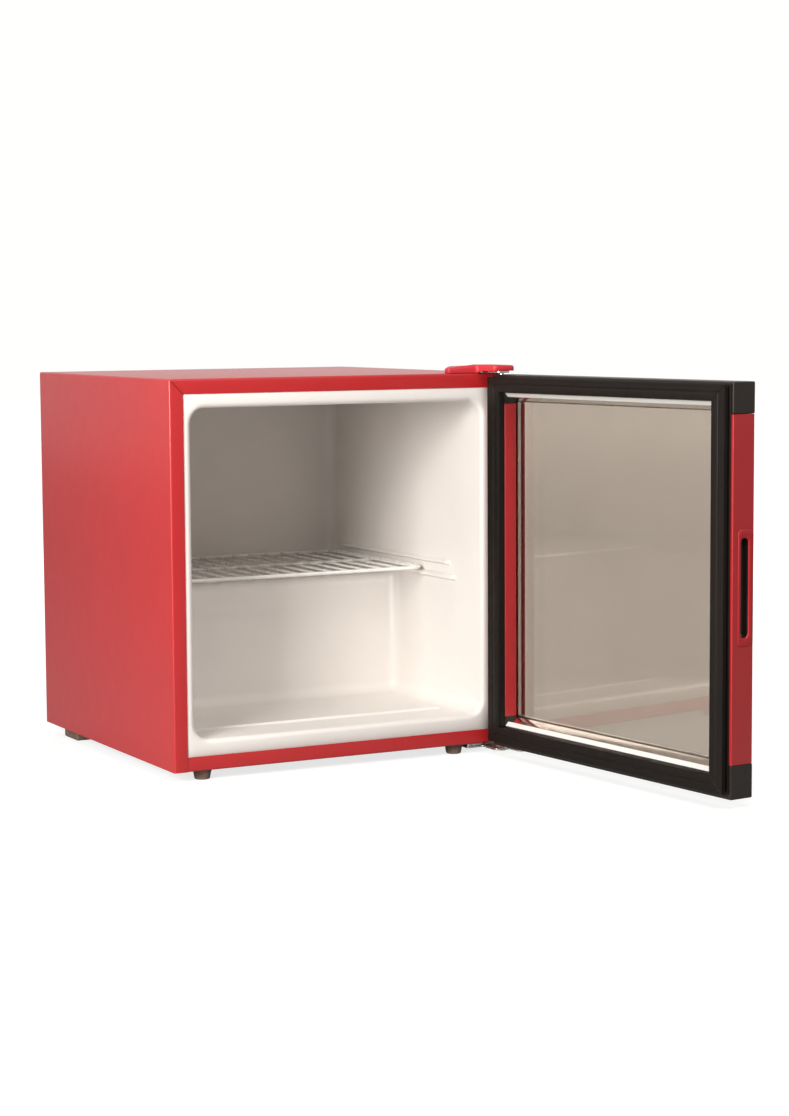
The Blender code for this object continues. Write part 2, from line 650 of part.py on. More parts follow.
def make_hinge_screw(name, seat, plate, upside_down=False):
    """Pan-head screw through a hinge plate, with its hole in the plate."""
    profile = [(0, 0.0024), (0.0022, 0.0023), (0.0038, 0.0012), (0.0038, 0), (0.0020, 0), (0.0020, -0.0026),
               (0, -0.0026)]
    screw = lathe(name, profile, seat, "zinc_steel", steps=14)
    if upside_down:
        screw.rotation_euler = (math.pi, 0, 0)
    cut(plate, cylinder(f"{name}_hole", seat, 0.0023, 0.016, sides=14))


# ---- door -----------------------------------------------------------------------------------
def door_box(name, s, t, z, finish=None, bevel=0.0, segments=2):
    """A box given from the hinge-side edge (s), from the frame's inner face (t) and in height."""
    low = (PIVOT_S - s[1], PIVOT_T - t[1], z[0])
    high = (PIVOT_S - s[0], PIVOT_T - t[0], z[1])
    return box(name, low, high, finish, bevel, segments, HINGE)


def edge_outline(name, s, t, z, radius, finish=None):
    """A round-cornered block seen from the free edge of the door: outline in t and z, pushed along s."""
    points = rounded_rectangle((PIVOT_T - t[1], z[0]), (PIVOT_T - t[0], z[1]), radius)
    span = (PIVOT_S - s[1], PIVOT_S - s[0])
    return to_mesh(outline(name, points, span, finish, axis="X", parent=HINGE))


def grown(span, margin):
    return (span[0] - margin, span[1] + margin)


def make_stiles():
    """Red upright frame pieces with a rebate that takes the edge of the glass."""
    section = [
        (0, 0), (STILE_WIDTH, 0), (STILE_WIDTH, GLASS_POCKET[0]), (GLASS_EDGE, GLASS_POCKET[0]),
        (GLASS_EDGE, GLASS_POCKET[1]), (FRONT_LIP, GLASS_POCKET[1]), (FRONT_LIP, DOOR_THICKNESS),
        (0, DOOR_THICKNESS),
    ]
    span = (CAP_BOTTOM_TOP, CAP_TOP_BOTTOM)
    hinge_points = [(PIVOT_S - s, PIVOT_T - t) for s, t in section]
    outline("hinge_stile", hinge_points, span, "red_paint", parent=HINGE)
    handle_points = [(PIVOT_S - DOOR_WIDTH + s, PIVOT_T - t) for s, t in reversed(section)]
    stile = to_mesh(outline("handle_stile", handle_points, span, "red_paint", parent=HINGE))
    beyond = 0.5
    seat_s = (DOOR_WIDTH - 0.0015, beyond)
    seat = edge_outline("bezel_seat", seat_s, grown(BEZEL_T, GAP), grown(BEZEL_Z, GAP), 0.0063)
    pocket_s = (DOOR_WIDTH - CUP_DEPTH - GAP, beyond)
    pocket = door_box("grip_pocket", pocket_s, grown(CUP_T, GAP), grown(SLOT_Z, CUP_WALL + GAP))
    cut(stile, seat, pocket)


def make_handle():
    """Finger recess in the free edge: a red surround over a black cup."""
    edge = DOOR_WIDTH
    through = (edge - 0.05, edge + 0.05)
    bezel_s = (edge - 0.0012, edge + 0.0006)
    bezel = edge_outline("handle_bezel", bezel_s, BEZEL_T, BEZEL_Z, 0.006, "red_plastic")
    cut(bezel, edge_outline("bezel_slot", through, SLOT_T, SLOT_Z, 0.0058))
    cup_s = (edge - CUP_DEPTH, edge - 0.0015)
    cup = door_box("handle_cup", cup_s, CUP_T, grown(SLOT_Z, CUP_WALL), "black_plastic")
    hollow_s = (edge - CUP_DEPTH + CUP_WALL, edge + 0.01)
    cut(cup, door_box("cup_hollow", hollow_s, grown(CUP_T, -CUP_WALL), SLOT_Z))


def make_caps():
    """Black rails across the top and the bottom, over the ends of the stiles."""
    inner = (STILE_WIDTH, DOOR_WIDTH - STILE_WIDTH)
    pocket = (GLASS_EDGE, DOOR_WIDTH - GLASS_EDGE)
    window = (FRONT_LIP, DOOR_WIDTH - FRONT_LIP)
    everywhere = 0.1
    reveal_t = (-everywhere, GLASS_POCKET[0] + 0.001)
    rails = {
        "top": ((CAP_TOP_BOTTOM + GAP, DOOR_TOP), (0.3, REVEAL_TOP), (0.3, 0.458), 0.500),
        "bottom": ((DOOR_BOTTOM, CAP_BOTTOM_TOP - GAP), (REVEAL_BOTTOM, 0.3), (0.0345, 0.3), -0.014),
    }
    for end, (span, reveal_z, window_z, bush_z) in rails.items():
        name = f"door_{end}_cap"
        cap = door_box(name, (0, DOOR_WIDTH), (0, DOOR_THICKNESS), span, "black_plastic", bevel=0.0012)
        hole_length = 0.064 if end == "top" else 0.060
        cut(
            cap,
            door_box(f"{end}_reveal", inner, reveal_t, reveal_z),
            door_box(f"{end}_pocket", pocket, GLASS_POCKET, reveal_z),
            door_box(f"{end}_window", window, (0.03, everywhere), window_z),
            cylinder(f"{end}_bush_hole", (0, 0, bush_z), BUSH_RADIUS + GAP, hole_length, parent=HINGE),
        )


def make_bushes():
    """Plastic sleeves in the caps that turn on the hinge pins."""
    sleeves = {"top": ((0.4683, 0.4874), (0.4710, 0.6)), "bottom": ((-0.0009, 0.0157), (-0.1, 0.0150))}
    for end, (body, bore) in sleeves.items():
        bush = cylinder(f"{end}_hinge_bush", (0, 0, sum(body) / 2), BUSH_RADIUS, body[1] - body[0],
                        "white_plastic", parent=HINGE)
        hole = cylinder(f"{end}_bush_bore", (0, 0, sum(bore) / 2), PIN_RADIUS + GAP, bore[1] - bore[0],
                        sides=20, parent=HINGE)
        cut(bush, hole)


def make_stop_plate():
    """Zinc plate under the door around the lower pin."""
    points = rounded_rectangle((PIVOT_S - 0.058, PIVOT_T - 0.022), (PIVOT_S - 0.003, PIVOT_T - 0.002), 0.004)
    plate = to_mesh(outline("door_stop_plate", points, (-0.0032, -0.0013), "zinc_steel", parent=HINGE))
    cut(plate, cylinder("stop_plate_hole", (0, 0, 0), PIN_RADIUS + 2 * GAP, 0.02, sides=20, parent=HINGE))


def make_glazing():
    """Two panes, the hollow spacer between them and the polished beads above and below."""
    s = (GLASS_EDGE + GAP, DOOR_WIDTH - GLASS_EDGE - GAP)
    z = (REVEAL_BOTTOM + GAP, REVEAL_TOP - GAP)
    door_box("inner_glass", s, GLASS_INNER, z, "glass")
    door_box("outer_glass", s, GLASS_OUTER, z, "glass")
    spacer = door_box("glass_spacer", grown(s, -0.002), GLASS_SPACER, grown(z, -0.002), "aluminium")
    window_s = (STILE_WIDTH + 0.0005, DOOR_WIDTH - STILE_WIDTH - 0.0005)
    cut(spacer, door_box("spacer_window", window_s, (-0.1, 0.1), (0.0395, 0.4525)))
    span = (PIVOT_S - DOOR_WIDTH + STILE_WIDTH + GAP, PIVOT_S - STILE_WIDTH - GAP)
    depth = GLASS_POCKET[0] - GAP
    for end, wall, sign in (("top", REVEAL_TOP - GAP, -1), ("bottom", REVEAL_BOTTOM + GAP, 1)):
        section = [(0.0002, wall), (0.0052, wall + sign * 0.0055), (depth, wall + sign * 0.0108),
                   (depth, wall)]
        points = [(PIVOT_T - t, height) for t, height in section]
        outline(f"{end}_glazing_bead", points, span, "bright_trim", axis="X", parent=HINGE)


def make_gasket():
    """Magnetic seal: one mitred ring on the inner face of the frame."""
    edge = 0.0035
    wide = STILE_WIDTH - 0.0005
    thickness = (-GASKET_THICKNESS - GAP, -GAP)
    height = (0.0055, 0.4855)
    outer_s = (edge, DOOR_WIDTH - edge)
    inner_s = (wide, DOOR_WIDTH - wide)
    ring = door_box("door_gasket", outer_s, thickness, height, "gasket_rubber", bevel=0.0015)
    window = door_box("gasket_window", inner_s, (-0.1, 0.1), (REVEAL_BOTTOM, REVEAL_TOP))
    cut(ring, window)


def datum_offset():
    """Bottom centre of the whole object, with its door open, in cabinet coordinates."""
    turn = Matrix.Rotation(DOOR_OPEN, 2)
    pivot = Vector(hinge_axis())
    outer = pivot + turn @ Vector((PIVOT_S - DOOR_WIDTH, PIVOT_T - DOOR_THICKNESS))
    inner = pivot + turn @ Vector((PIVOT_S - DOOR_WIDTH, PIVOT_T))
    rear = COIL_Y + COIL_RADIUS + GAP + 0.0015
    return Vector(((outer.x - WIDTH / 2) / 2, (inner.y + rear) / 2, -FOOT_HEIGHT))


clear_scene()
PARTS = make_collection("mini_fridge")
CUTTERS = make_collection("cutters")
MATERIALS = {name: make_material(name, *values) for name, values in FINISHES.items()}
DATUM = make_empty("cabinet_datum", location=-datum_offset())
HINGE = make_empty("door_hinge_axis", DATUM, (*hinge_axis(), 0), DOOR_OPEN)

make_outer_wrapper()
make_front_rail()
make_inner_liner()
make_insulation()
make_cabinet_plates()
make_feet()
make_thermostat()
make_shelf()
make_tray()
make_compressor()
make_pipework()
make_condenser()
make_upper_hinge()
make_lower_hinge()
make_stiles()
make_handle()
make_caps()
make_bushes()
make_stop_plate()
make_glazing()
make_gasket()
bpy.context.view_layer.update()
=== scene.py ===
"""How the table-top drinks cooler looks: finer pieces, materials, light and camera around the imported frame.

Metres, +Z up.  cab() gives a point in cabinet coordinates: x from the middle of the cabinet, y from its
front face to the rear, z from the underside of its skin.  door() gives a point on the door: s from its
hinge-side edge, t from the inner face of its frame outwards, and the same z.
"""
import json
from math import copysign, cos, hypot, pi, radians, sin, tan

import bmesh
import bpy
from mathutils import Matrix, Vector


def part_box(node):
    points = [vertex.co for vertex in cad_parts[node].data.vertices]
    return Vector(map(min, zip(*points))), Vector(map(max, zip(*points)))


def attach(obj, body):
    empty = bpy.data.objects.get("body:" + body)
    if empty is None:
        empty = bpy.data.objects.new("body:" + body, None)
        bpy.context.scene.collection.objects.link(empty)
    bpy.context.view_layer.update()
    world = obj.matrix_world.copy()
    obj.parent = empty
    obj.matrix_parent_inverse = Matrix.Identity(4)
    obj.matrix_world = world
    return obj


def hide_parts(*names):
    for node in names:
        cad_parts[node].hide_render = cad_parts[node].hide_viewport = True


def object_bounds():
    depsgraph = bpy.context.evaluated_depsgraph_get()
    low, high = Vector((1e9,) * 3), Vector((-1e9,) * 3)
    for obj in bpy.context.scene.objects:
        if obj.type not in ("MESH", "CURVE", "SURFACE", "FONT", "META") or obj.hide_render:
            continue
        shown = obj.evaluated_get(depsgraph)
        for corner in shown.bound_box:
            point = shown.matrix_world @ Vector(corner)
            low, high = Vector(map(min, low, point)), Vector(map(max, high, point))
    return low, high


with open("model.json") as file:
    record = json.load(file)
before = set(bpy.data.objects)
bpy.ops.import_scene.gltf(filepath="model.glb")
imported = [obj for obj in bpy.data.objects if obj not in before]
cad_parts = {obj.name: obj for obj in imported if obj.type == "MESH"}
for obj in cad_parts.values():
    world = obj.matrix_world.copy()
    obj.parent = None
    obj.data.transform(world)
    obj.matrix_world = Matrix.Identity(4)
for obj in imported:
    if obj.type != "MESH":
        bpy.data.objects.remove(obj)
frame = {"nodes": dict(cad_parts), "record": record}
cad_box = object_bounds()

# ---- sizes and places from the frame -----------------------------------------------------------
SKIN_LOW, SKIN_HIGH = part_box("outer_wrapper")
WIDTH, DEPTH, HEIGHT = SKIN_HIGH - SKIN_LOW
ORIGIN = Vector(((SKIN_LOW.x + SKIN_HIGH.x) / 2, SKIN_LOW.y, SKIN_LOW.z))
JOINTS = {joint["name"]: joint for joint in frame["record"]["behaviour"]["joints"]}
HINGE = Vector(JOINTS["door_hinge"]["pos_m"])
DOOR_OPEN = radians(-JOINTS["door_hinge"]["range_deg"][0])
DOOR = Matrix.Translation((HINGE.x, HINGE.y, ORIGIN.z)) @ Matrix.Rotation(DOOR_OPEN, 4, "Z")
FLOOR_Z = cad_box[0].z

# ---- design sizes shared with the frame ------------------------------------------------------
GAP = 0.0003                    # clearance between neighbours
SKIN = 0.0008
FLANGE = 0.0185
PIVOT_S = 0.0105
PIVOT_T = 0.0080
DOOR_WIDTH = 0.470
DOOR_THICKNESS = 0.0336
HAIR = 1e-6                     # two places closer than this are one


def cab(x, y, z):
    return ORIGIN + Vector((x, y, z))


def cab_upright(x, z, y):
    return cab(x, y, z)


def door(s, t, z):
    return DOOR @ Vector((PIVOT_S - s, PIVOT_T - t, z))


def door_across(t, z, s):
    return door(s, t, z)


def room(x, y, z):
    return Vector((x, y, z))


def between(low, high, count):
    return [low + (high - low) * index / count for index in range(count + 1)]


def smoothstep(value):
    value = max(0.0, min(1.0, value))
    return value * value * (3 - 2 * value)


# ---- materials -------------------------------------------------------------------------------
def plug(tree, node, inputs):
    """Link each input that is given a socket, and set the others."""
    for name, value in inputs.items():
        if isinstance(value, bpy.types.NodeSocket):
            tree.links.new(value, node.inputs[name])
        else:
            node.inputs[name].default_value = value


def add_node(tree, kind, inputs, output=0, **settings):
    """Make a shader node and return one of its outputs."""
    node = tree.nodes.new("ShaderNode" + kind)
    for name, value in settings.items():
        setattr(node, name, value)
    plug(tree, node, inputs)
    return node.outputs[output]


def noise(tree, place, scale, detail=3.0, stretch=None, roughness=0.55):
    """Noise over the object's own coordinates, in features per metre, stretched along an axis if asked."""
    if stretch:
        place = add_node(tree, "Mapping", {"Vector": place, "Scale": stretch})
    look = {"Vector": place, "Scale": scale, "Detail": detail, "Roughness": roughness}
    return add_node(tree, "TexNoise", look, "Fac")


def spread(tree, value, low, high, source=(0.3, 0.7)):
    """Map a value from its range, the usual one of a noise unless given, to the range wanted."""
    span = {"Value": value, "From Min": source[0], "From Max": source[1], "To Min": low, "To Max": high}
    return add_node(tree, "MapRange", span, "Result")


def blend(tree, factor, first, second):
    return add_node(tree, "Mix", {"Factor": factor, "A": first, "B": second}, "Result", data_type="RGBA")


def surface(name, colour, roughness, metallic=0.0, shade=0.06, shade_scale=14.0, rough_spread=0.06,
            rough_scale=60.0, grain=(1e-5, 900), wave=None, specks=0.0, speck_colour=(0.3, 0.28, 0.26),
            coat=0.0, coat_roughness=0.1, specular=0.5, transmission=0.0, ior=1.5):
    """A finish whose colour, roughness and relief vary as the real one's do.

    shade is how far the colour drifts.  grain is the height and scale of the fine relief, with its stretch
    if it runs one way; wave is those of the slow unevenness.  specks is the share of lighter flecks.
    """
    material = bpy.data.materials.new(name)
    material.use_nodes = True
    tree = material.node_tree
    place = add_node(tree, "TexCoord", {}, "Object")
    drift = spread(tree, noise(tree, place, shade_scale), 0, 1)
    dark, light = ([min(1.0, channel * share) for channel in colour] for share in (1 - shade, 1 + shade))
    paint = blend(tree, drift, (*dark, 1), (*light, 1))
    if specks:
        edge = 0.78 - 0.25 * specks
        fleck = spread(tree, noise(tree, place, 1500.0, detail=1.0), 0, 1, (edge, edge + 0.06))
        paint = blend(tree, fleck, paint, (*speck_colour, 1))
    rough = spread(tree, noise(tree, place, rough_scale, detail=4.0), max(0.01, roughness - rough_spread),
                   min(1.0, roughness + rough_spread))
    looks = {"Base Color": paint, "Roughness": rough, "Metallic": metallic, "Specular IOR Level": specular,
             "Coat Weight": coat, "Coat Roughness": coat_roughness, "IOR": ior,
             "Transmission Weight": transmission}
    under = {}
    for height, scale, *stretch in filter(None, (wave, grain)):
        relief = noise(tree, place, scale, stretch=stretch[0] if stretch else None)
        bump = {"Strength": 1.0, "Distance": height, "Height": relief}
        under = {"Normal": add_node(tree, "Bump", {**bump, **under}, "Normal")}
    plug(tree, tree.nodes["Principled BSDF"], {**looks, **under})
    return material


FINISHES = {
    "red_paint": surface("red_powder_coat", (0.465, 0.0135, 0.016), 0.42, shade=0.025, rough_spread=0.02,
                         grain=(8e-6, 700), wave=(8e-6, 7), coat=0.45, coat_roughness=0.16),
    "red_plastic": surface("red_moulding", (0.48, 0.014, 0.018), 0.34, grain=(8e-6, 1400)),
    "cover_plastic": surface("cover_moulding", (0.60, 0.030, 0.042), 0.44, grain=(8e-6, 1400)),
    "white_liner": surface("white_liner", (0.80, 0.755, 0.715), 0.34, shade=0.015, rough_spread=0.04,
                           grain=None, wave=(4e-5, 9)),
    "foam": surface("rigid_foam", (0.74, 0.64, 0.40), 0.9, shade=0.15, shade_scale=60.0, grain=(4e-4, 500)),
    "galvanised_steel": surface("galvanised_sheet", (0.52, 0.53, 0.54), 0.42, 1.0, shade=0.22,
                                shade_scale=45.0, rough_spread=0.14, rough_scale=70.0),
    "aluminium": surface("mill_aluminium", (0.72, 0.72, 0.71), 0.34, 1.0, shade=0.05,
                         grain=(1e-5, 500, (1, 1, 18))),
    "foot_plastic": surface("foot_moulding", (0.150, 0.096, 0.072), 0.55, shade=0.2, shade_scale=90.0,
                            grain=(4e-5, 1200)),
    "white_plastic": surface("white_moulding", (0.80, 0.79, 0.75), 0.38, shade=0.02, grain=(2e-5, 1600)),
    "white_wire": surface("coated_wire", (0.88, 0.86, 0.82), 0.28, shade=0.03, grain=(1e-5, 300)),
    "black_plastic": surface("black_moulding", (0.022, 0.016, 0.012), 0.40, shade=0.15, grain=(3e-5, 1300),
                             specks=0.4, speck_colour=(0.07, 0.062, 0.052), specular=0.35),
    "black_enamel": surface("black_enamel", (0.014, 0.014, 0.015), 0.32, shade=0.2, grain=(2e-5, 500),
                            rough_spread=0.1),
    "rubber": surface("moulded_rubber", (0.028, 0.026, 0.025), 0.75, shade=0.2, grain=(4e-5, 900)),
    "copper": surface("drawn_copper", (0.72, 0.36, 0.20), 0.30, 1.0, shade=0.18, shade_scale=50.0,
                      rough_spread=0.12),
    "zinc_steel": surface("zinc_plate", (0.68, 0.68, 0.65), 0.26, 1.0, shade=0.10, shade_scale=80.0,
                          rough_spread=0.10, grain=(1e-5, 800, (1, 6, 1))),
    "glass": surface("tinted_glass", (0.715, 0.66, 0.60), 0.012, shade=0.01, rough_spread=0.006, grain=None,
                     wave=(4e-6, 5), transmission=1.0),
    "bright_trim": surface("polished_trim", (0.88, 0.87, 0.85), 0.10, 1.0, shade=0.03, rough_spread=0.04,
                           grain=(4e-6, 600, (1, 1, 14))),
    "gasket_rubber": surface("seal_vinyl", (0.008, 0.0055, 0.004), 0.48, shade=0.12, grain=(2e-5, 1100),
                             specular=0.19),
}


def dress_cad_nodes():
    """Give every node that is still shown the finish of its material slot."""
    for subpart in frame["record"]["subparts"]:
        materials = frame["nodes"][subpart["node"]].data.materials
        materials.clear()
        materials.append(FINISHES[subpart["material_slot"]])


# ---- mesh helpers ----------------------------------------------------------------------------
def add(name, data):
    obj = bpy.data.objects.new(name, data)
    bpy.context.scene.collection.objects.link(obj)
    return obj


def piece(name, shape, finish, stands_for=None, body="cabinet", angle=35, weighted=False):
    """Put a mesh, or loose shapes, in the scene on its body, in place of the CAD node that it stands for."""
    mesh = merged(shape) if isinstance(shape, list) else shape
    obj = add(name, mesh)
    mesh.materials.clear()
    mesh.materials.append(FINISHES[finish])
    mesh.shade_smooth()
    mesh.set_sharp_from_angle(angle=radians(angle))
    if weighted:
        obj.modifiers.new("flat faces stay flat", "WEIGHTED_NORMAL").keep_sharp = True
    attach(obj, body)
    if stands_for:
        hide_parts(stands_for)
    return obj


def door_piece(name, shape, finish, stands_for=None, **how):
    piece(name, shape, finish, stands_for, "door", **how)


def to_mesh(solid, mesh=None):
    mesh = mesh or bpy.data.meshes.new("mesh")
    solid.to_mesh(mesh)
    solid.free()
    return mesh


def welded(mesh, distance=0.000002):
    """The mesh with coincident points joined, slivers removed and its faces pointing out."""
    solid = bmesh.new()
    solid.from_mesh(mesh)
    bmesh.ops.remove_doubles(solid, verts=solid.verts, dist=distance)
    bmesh.ops.dissolve_degenerate(solid, edges=solid.edges, dist=distance)
    bmesh.ops.recalc_face_normals(solid, faces=solid.faces)
    return to_mesh(solid, mesh)


def merged(shapes):
    """One closed mesh of several loose shapes, each given as vertices and faces."""
    verts, faces = [], []
    for points, sides in shapes:
        start = len(verts)
        verts += [tuple(point) for point in points]
        faces += [tuple(start + index for index in side) for side in sides]
    mesh = bpy.data.meshes.new("mesh")
    mesh.from_pydata(verts, [], faces)
    return welded(mesh)


def loft(rings, cyclic=False):
    """Vertices and faces of a skin over rings with the same number of points, capped unless it closes up."""
    count, last = len(rings[0]), len(rings) - 1
    faces = []
    for row in range(last + cyclic):
        here, there = row * count, (row + 1) % len(rings) * count
        for column in range(count):
            after = (column + 1) % count
            faces.append((here + column, here + after, there + after, there + column))
    if not cyclic:
        faces += [tuple(reversed(range(count))), tuple(range(last * count, len(rings) * count))]
    return [point for ring in rings for point in ring], faces


def filleted(points, radii, steps=5):
    """A closed outline with each corner rounded to its radius."""
    if not isinstance(radii, list):
        radii = [radii] * len(points)
    result = []
    for index, corner in enumerate(points):
        corner = Vector(corner)
        before = (Vector(points[index - 1]) - corner).normalized()
        after = (Vector(points[(index + 1) % len(points)]) - corner).normalized()
        half = before.angle(after) / 2
        if radii[index] <= 0 or half > radians(89):
            result.append(corner)
            continue
        centre = corner + (before + after).normalized() * (radii[index] / sin(half))
        start, end = (corner + way * (radii[index] / tan(half)) - centre for way in (before, after))
        turn = start.angle_signed(end)
        result += [centre + Matrix.Rotation(-turn * share, 2) @ start for share in between(0, 1, steps)]
    return result


def rounded_rectangle(low, high, radius, steps=8, inset=0.0):
    (left, bottom), (right, top) = (v + inset for v in low), (v - inset for v in high)
    return filleted([(left, bottom), (right, bottom), (right, top), (left, top)], radius, steps)


def shrunk(outline, inset):
    """A closed outline moved inwards by a small inset; its points run anticlockwise."""
    result = []
    for index, point in enumerate(outline):
        before = (point - outline[index - 1]).normalized()
        after = (outline[(index + 1) % len(outline)] - point).normalized()
        along = before + after
        inward = Vector((-along.y, along.x)).normalized()
        lean = max(0.35, inward.dot(Vector((-after.y, after.x))))
        result.append(point + inward * inset / lean)
    return result


def anticlockwise(points):
    area = sum(a[0] * b[1] - b[0] * a[1] for a, b in zip(points, points[1:] + points[:1]))
    return points if area > 0 else points[::-1]


def slab(outline, span, where=cab, edge=0.0, steps=4):
    """An outline pushed through a span, its two ends rounded over by edge; where() gives the point."""
    outline = anticlockwise(outline)
    low, high = span
    rings = [(low + edge * (1 - sin(a)), edge * (1 - cos(a)))
             for a in (between(pi / 2, 0, steps) if edge else [0.0])]
    rings += [(high + low - level, inset) for level, inset in reversed(rings)]
    return loft([[where(p.x, p.y, level) for p in shrunk(outline, inset)] for level, inset in rings])


def block(low, high, radius=0.0, steps=1, where=cab):
    """A block with all its edges rounded; where() maps its points into the room."""
    solid = bmesh.new()
    bmesh.ops.create_cube(solid, size=1.0)
    size = Vector(high) - Vector(low)
    bmesh.ops.scale(solid, vec=size, verts=solid.verts)
    bmesh.ops.translate(solid, vec=Vector(low) + size / 2, verts=solid.verts)
    if radius:
        bevel(solid, radius, steps)
    for vert in solid.verts:
        vert.co = where(*vert.co)
    bmesh.ops.recalc_face_normals(solid, faces=solid.faces)
    return to_mesh(solid)


def bevel(solid, radius, steps):
    bmesh.ops.bevel(solid, geom=solid.edges[:], offset=radius, segments=steps, profile=0.5,
                    affect="EDGES", clamp_overlap=True)


def evaluated(obj):
    """A new mesh of the object as its modifiers leave it."""
    bpy.context.view_layer.update()
    return bpy.data.meshes.new_from_object(obj.evaluated_get(bpy.context.evaluated_depsgraph_get()))


def boolean(mesh, cutters, operation="DIFFERENCE"):
    """The mesh with the cutters' meshes taken away from it, or joined to it."""
    target, *helpers = made = [add("helper", shape) for shape in [mesh] + cutters]
    for helper in helpers:
        modifier = target.modifiers.new("cut", "BOOLEAN")
        modifier.operation = operation
        modifier.object = helper
    result = evaluated(target)
    for obj in made:
        bpy.data.objects.remove(obj, do_unlink=True)
    return welded(result)


def circle(radius, sides, groove=0.0, ribs=0):
    """Points round a circle, with grooves between ribs if asked."""
    points = []
    for angle in between(0, 2 * pi, sides)[:-1]:
        reach = radius - groove * (1 - cos(ribs * angle))
        points.append((reach * cos(angle), reach * sin(angle)))
    return points


def turned(profile, centre, axis="Z", sides=48, hollow=False, ribs=()):
    """A turned shape: (radius, height) rows along an axis.

    A hollow one joins its last ring to its first, and a row with a third value is ribbed.
    """
    rings = []
    for radius, height, *ribbed in profile:
        rings.append([centre + Vector({"X": (height, a, b), "Y": (b, height, a), "Z": (a, b, height)}[axis])
                      for a, b in circle(radius, sides, *(ribs if ribbed else ()))])
    return loft(rings, cyclic=hollow)


def drill(centre, radius, reach=0.01, axis="Z"):
    """A round cutter, as long as twice its reach."""
    return merged([turned([(0, -reach), (radius, -reach), (radius, reach), (0, reach)], centre, axis, 40)])


def pipe(points, radius, sides=12, cyclic=False):
    """A round bar along points, its rings turned as little as possible from one to the next."""
    count = len(points)
    tangents = []
    for index in range(count):
        before = points[index - 1] if index or cyclic else points[0]
        after = points[(index + 1) % count] if index < count - 1 or cyclic else points[-1]
        tangents.append((after - before).normalized())
    normal = tangents[0].orthogonal().normalized()
    rings = []
    for point, tangent in zip(points, tangents):
        normal = (normal - tangent * normal.dot(tangent)).normalized()
        side = tangent.cross(normal)
        rings.append([point + normal * a + side * b for a, b in circle(radius, sides)])
    return loft(rings, cyclic=cyclic)


def tube(corners, bend, steps, radius, sides):
    """A bent tube through cabinet coordinates, its inner corners rounded."""
    corners = [Vector(corner) for corner in corners]
    points = corners[:1]
    for before, corner, after in zip(corners, corners[1:], corners[2:]):
        start = corner + (before - corner).normalized() * bend
        end = corner + (after - corner).normalized() * bend
        points += [(1 - u) ** 2 * start + 2 * u * (1 - u) * corner + u ** 2 * end for u in between(0, 1, steps)]
    return pipe([cab(*point) for point in points + corners[-1:]], radius, sides)


# ---- cabinet ---------------------------------------------------------------------------------
FOLD = 0.0024                   # outer radius of the skin's folds
MITRE_WIDTH = 0.0005
MITRE_DEPTH = 0.00035


def skin_ring(depth_in, y, mitred=False):
    """Up the left side, over the top and down the right side, at one depth in from the outside."""
    half = WIDTH / 2 - depth_in
    top = HEIGHT - depth_in
    ring = [cab(-half, y, 0)]
    for sign in (-1, 1):
        for turn in between(0, 1, 8):
            if mitred:
                along = 2 * turn - 1
                push = MITRE_DEPTH * max(0.0, 1 - 2 * abs(along))
                x = half - MITRE_WIDTH * max(0.0, along * sign)
                ring.append(cab(sign * x, y + push, top - MITRE_WIDTH * max(0.0, -along * sign)))
            else:
                radius = max(FOLD - depth_in, 0.0)
                angle = pi / 2 * (1 - turn if sign > 0 else turn)
                ring.append(cab(sign * (half - radius * (1 - cos(angle))), y, top - radius * (1 - sin(angle))))
    return ring + [cab(half, y, 0)]


def make_skin():
    """Folded and painted sheet: sides, top and the mitred face around the doorway."""
    lip = 0.0004
    inner = FOLD - SKIN
    profile = [(0.0, DEPTH)] + [(FOLD * (1 - cos(a)), FOLD * (1 - sin(a))) for a in between(0, pi / 2, 6)]
    profile += [(FOLD + lip, 0.0, True), (FLANGE - lip, 0.0, True), (FLANGE - lip / 4, lip / 4, True),
                (FLANGE, lip, True), (FLANGE, SKIN)]
    profile += [(FOLD - inner * cos(a), FOLD - inner * sin(a)) for a in between(pi / 2, 0, 6)]
    rings = [skin_ring(*row) for row in profile + [(SKIN, DEPTH)]]
    piece("cabinet_skin", [loft(list(zip(*rings)))], "red_paint", "outer_wrapper", angle=25)


def make_front_rail():
    """Folded rail under the doorway, butted between the sides."""
    low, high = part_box("bottom_front_rail")
    depth, height = high.y - low.y, high.z - low.z
    outline = filleted([(0, 0), (depth, 0), (depth, SKIN), (SKIN, SKIN), (SKIN, height), (0, height)],
                       [FOLD, 0, 0, FOLD - SKIN, 0.0003, 0.0003], 6)
    shape = slab(outline, (low.x, high.x), lambda u, v, w: Vector((w, low.y + u, low.z + v)))
    piece("front_rail", [shape], "red_paint", "bottom_front_rail", angle=30)


CAVITY_HALF = WIDTH / 2 - 0.0295
CAVITY_FLOOR = 0.039
CAVITY_TOP = 0.4535
CAVITY_BACK = 0.433
CAVITY_RADIUS = 0.016
MOUTH_RADIUS = 0.0205           # the food space's long corners widen to this at the front
FLANGE_RADIUS = 0.006           # outer corners of the liner's front flange
FLANGE_HALF = WIDTH / 2 - 0.0074
FLANGE_LOW, FLANGE_HIGH = 0.0084, HEIGHT - 0.0084
STEP_FRONT = 0.245
STEP_TOP = 0.205
LINER = 0.002
LINER_FACE = SKIN + GAP
LIP_RADIUS = 0.0065
RIB_DEPTH = 0.0066
RIB_RAMP = 0.0034
RIBS = ((0.0705, 0.2089, 0.2186), (0.0855, 0.2289, 0.2371))     # front, low and high of each
RIB_BACK = 0.3995
BEAD = (-0.182, 0.182, 0.0642, 0.0738)
BEAD_HEIGHT = 0.003
BEAD_RAMP = 0.0042


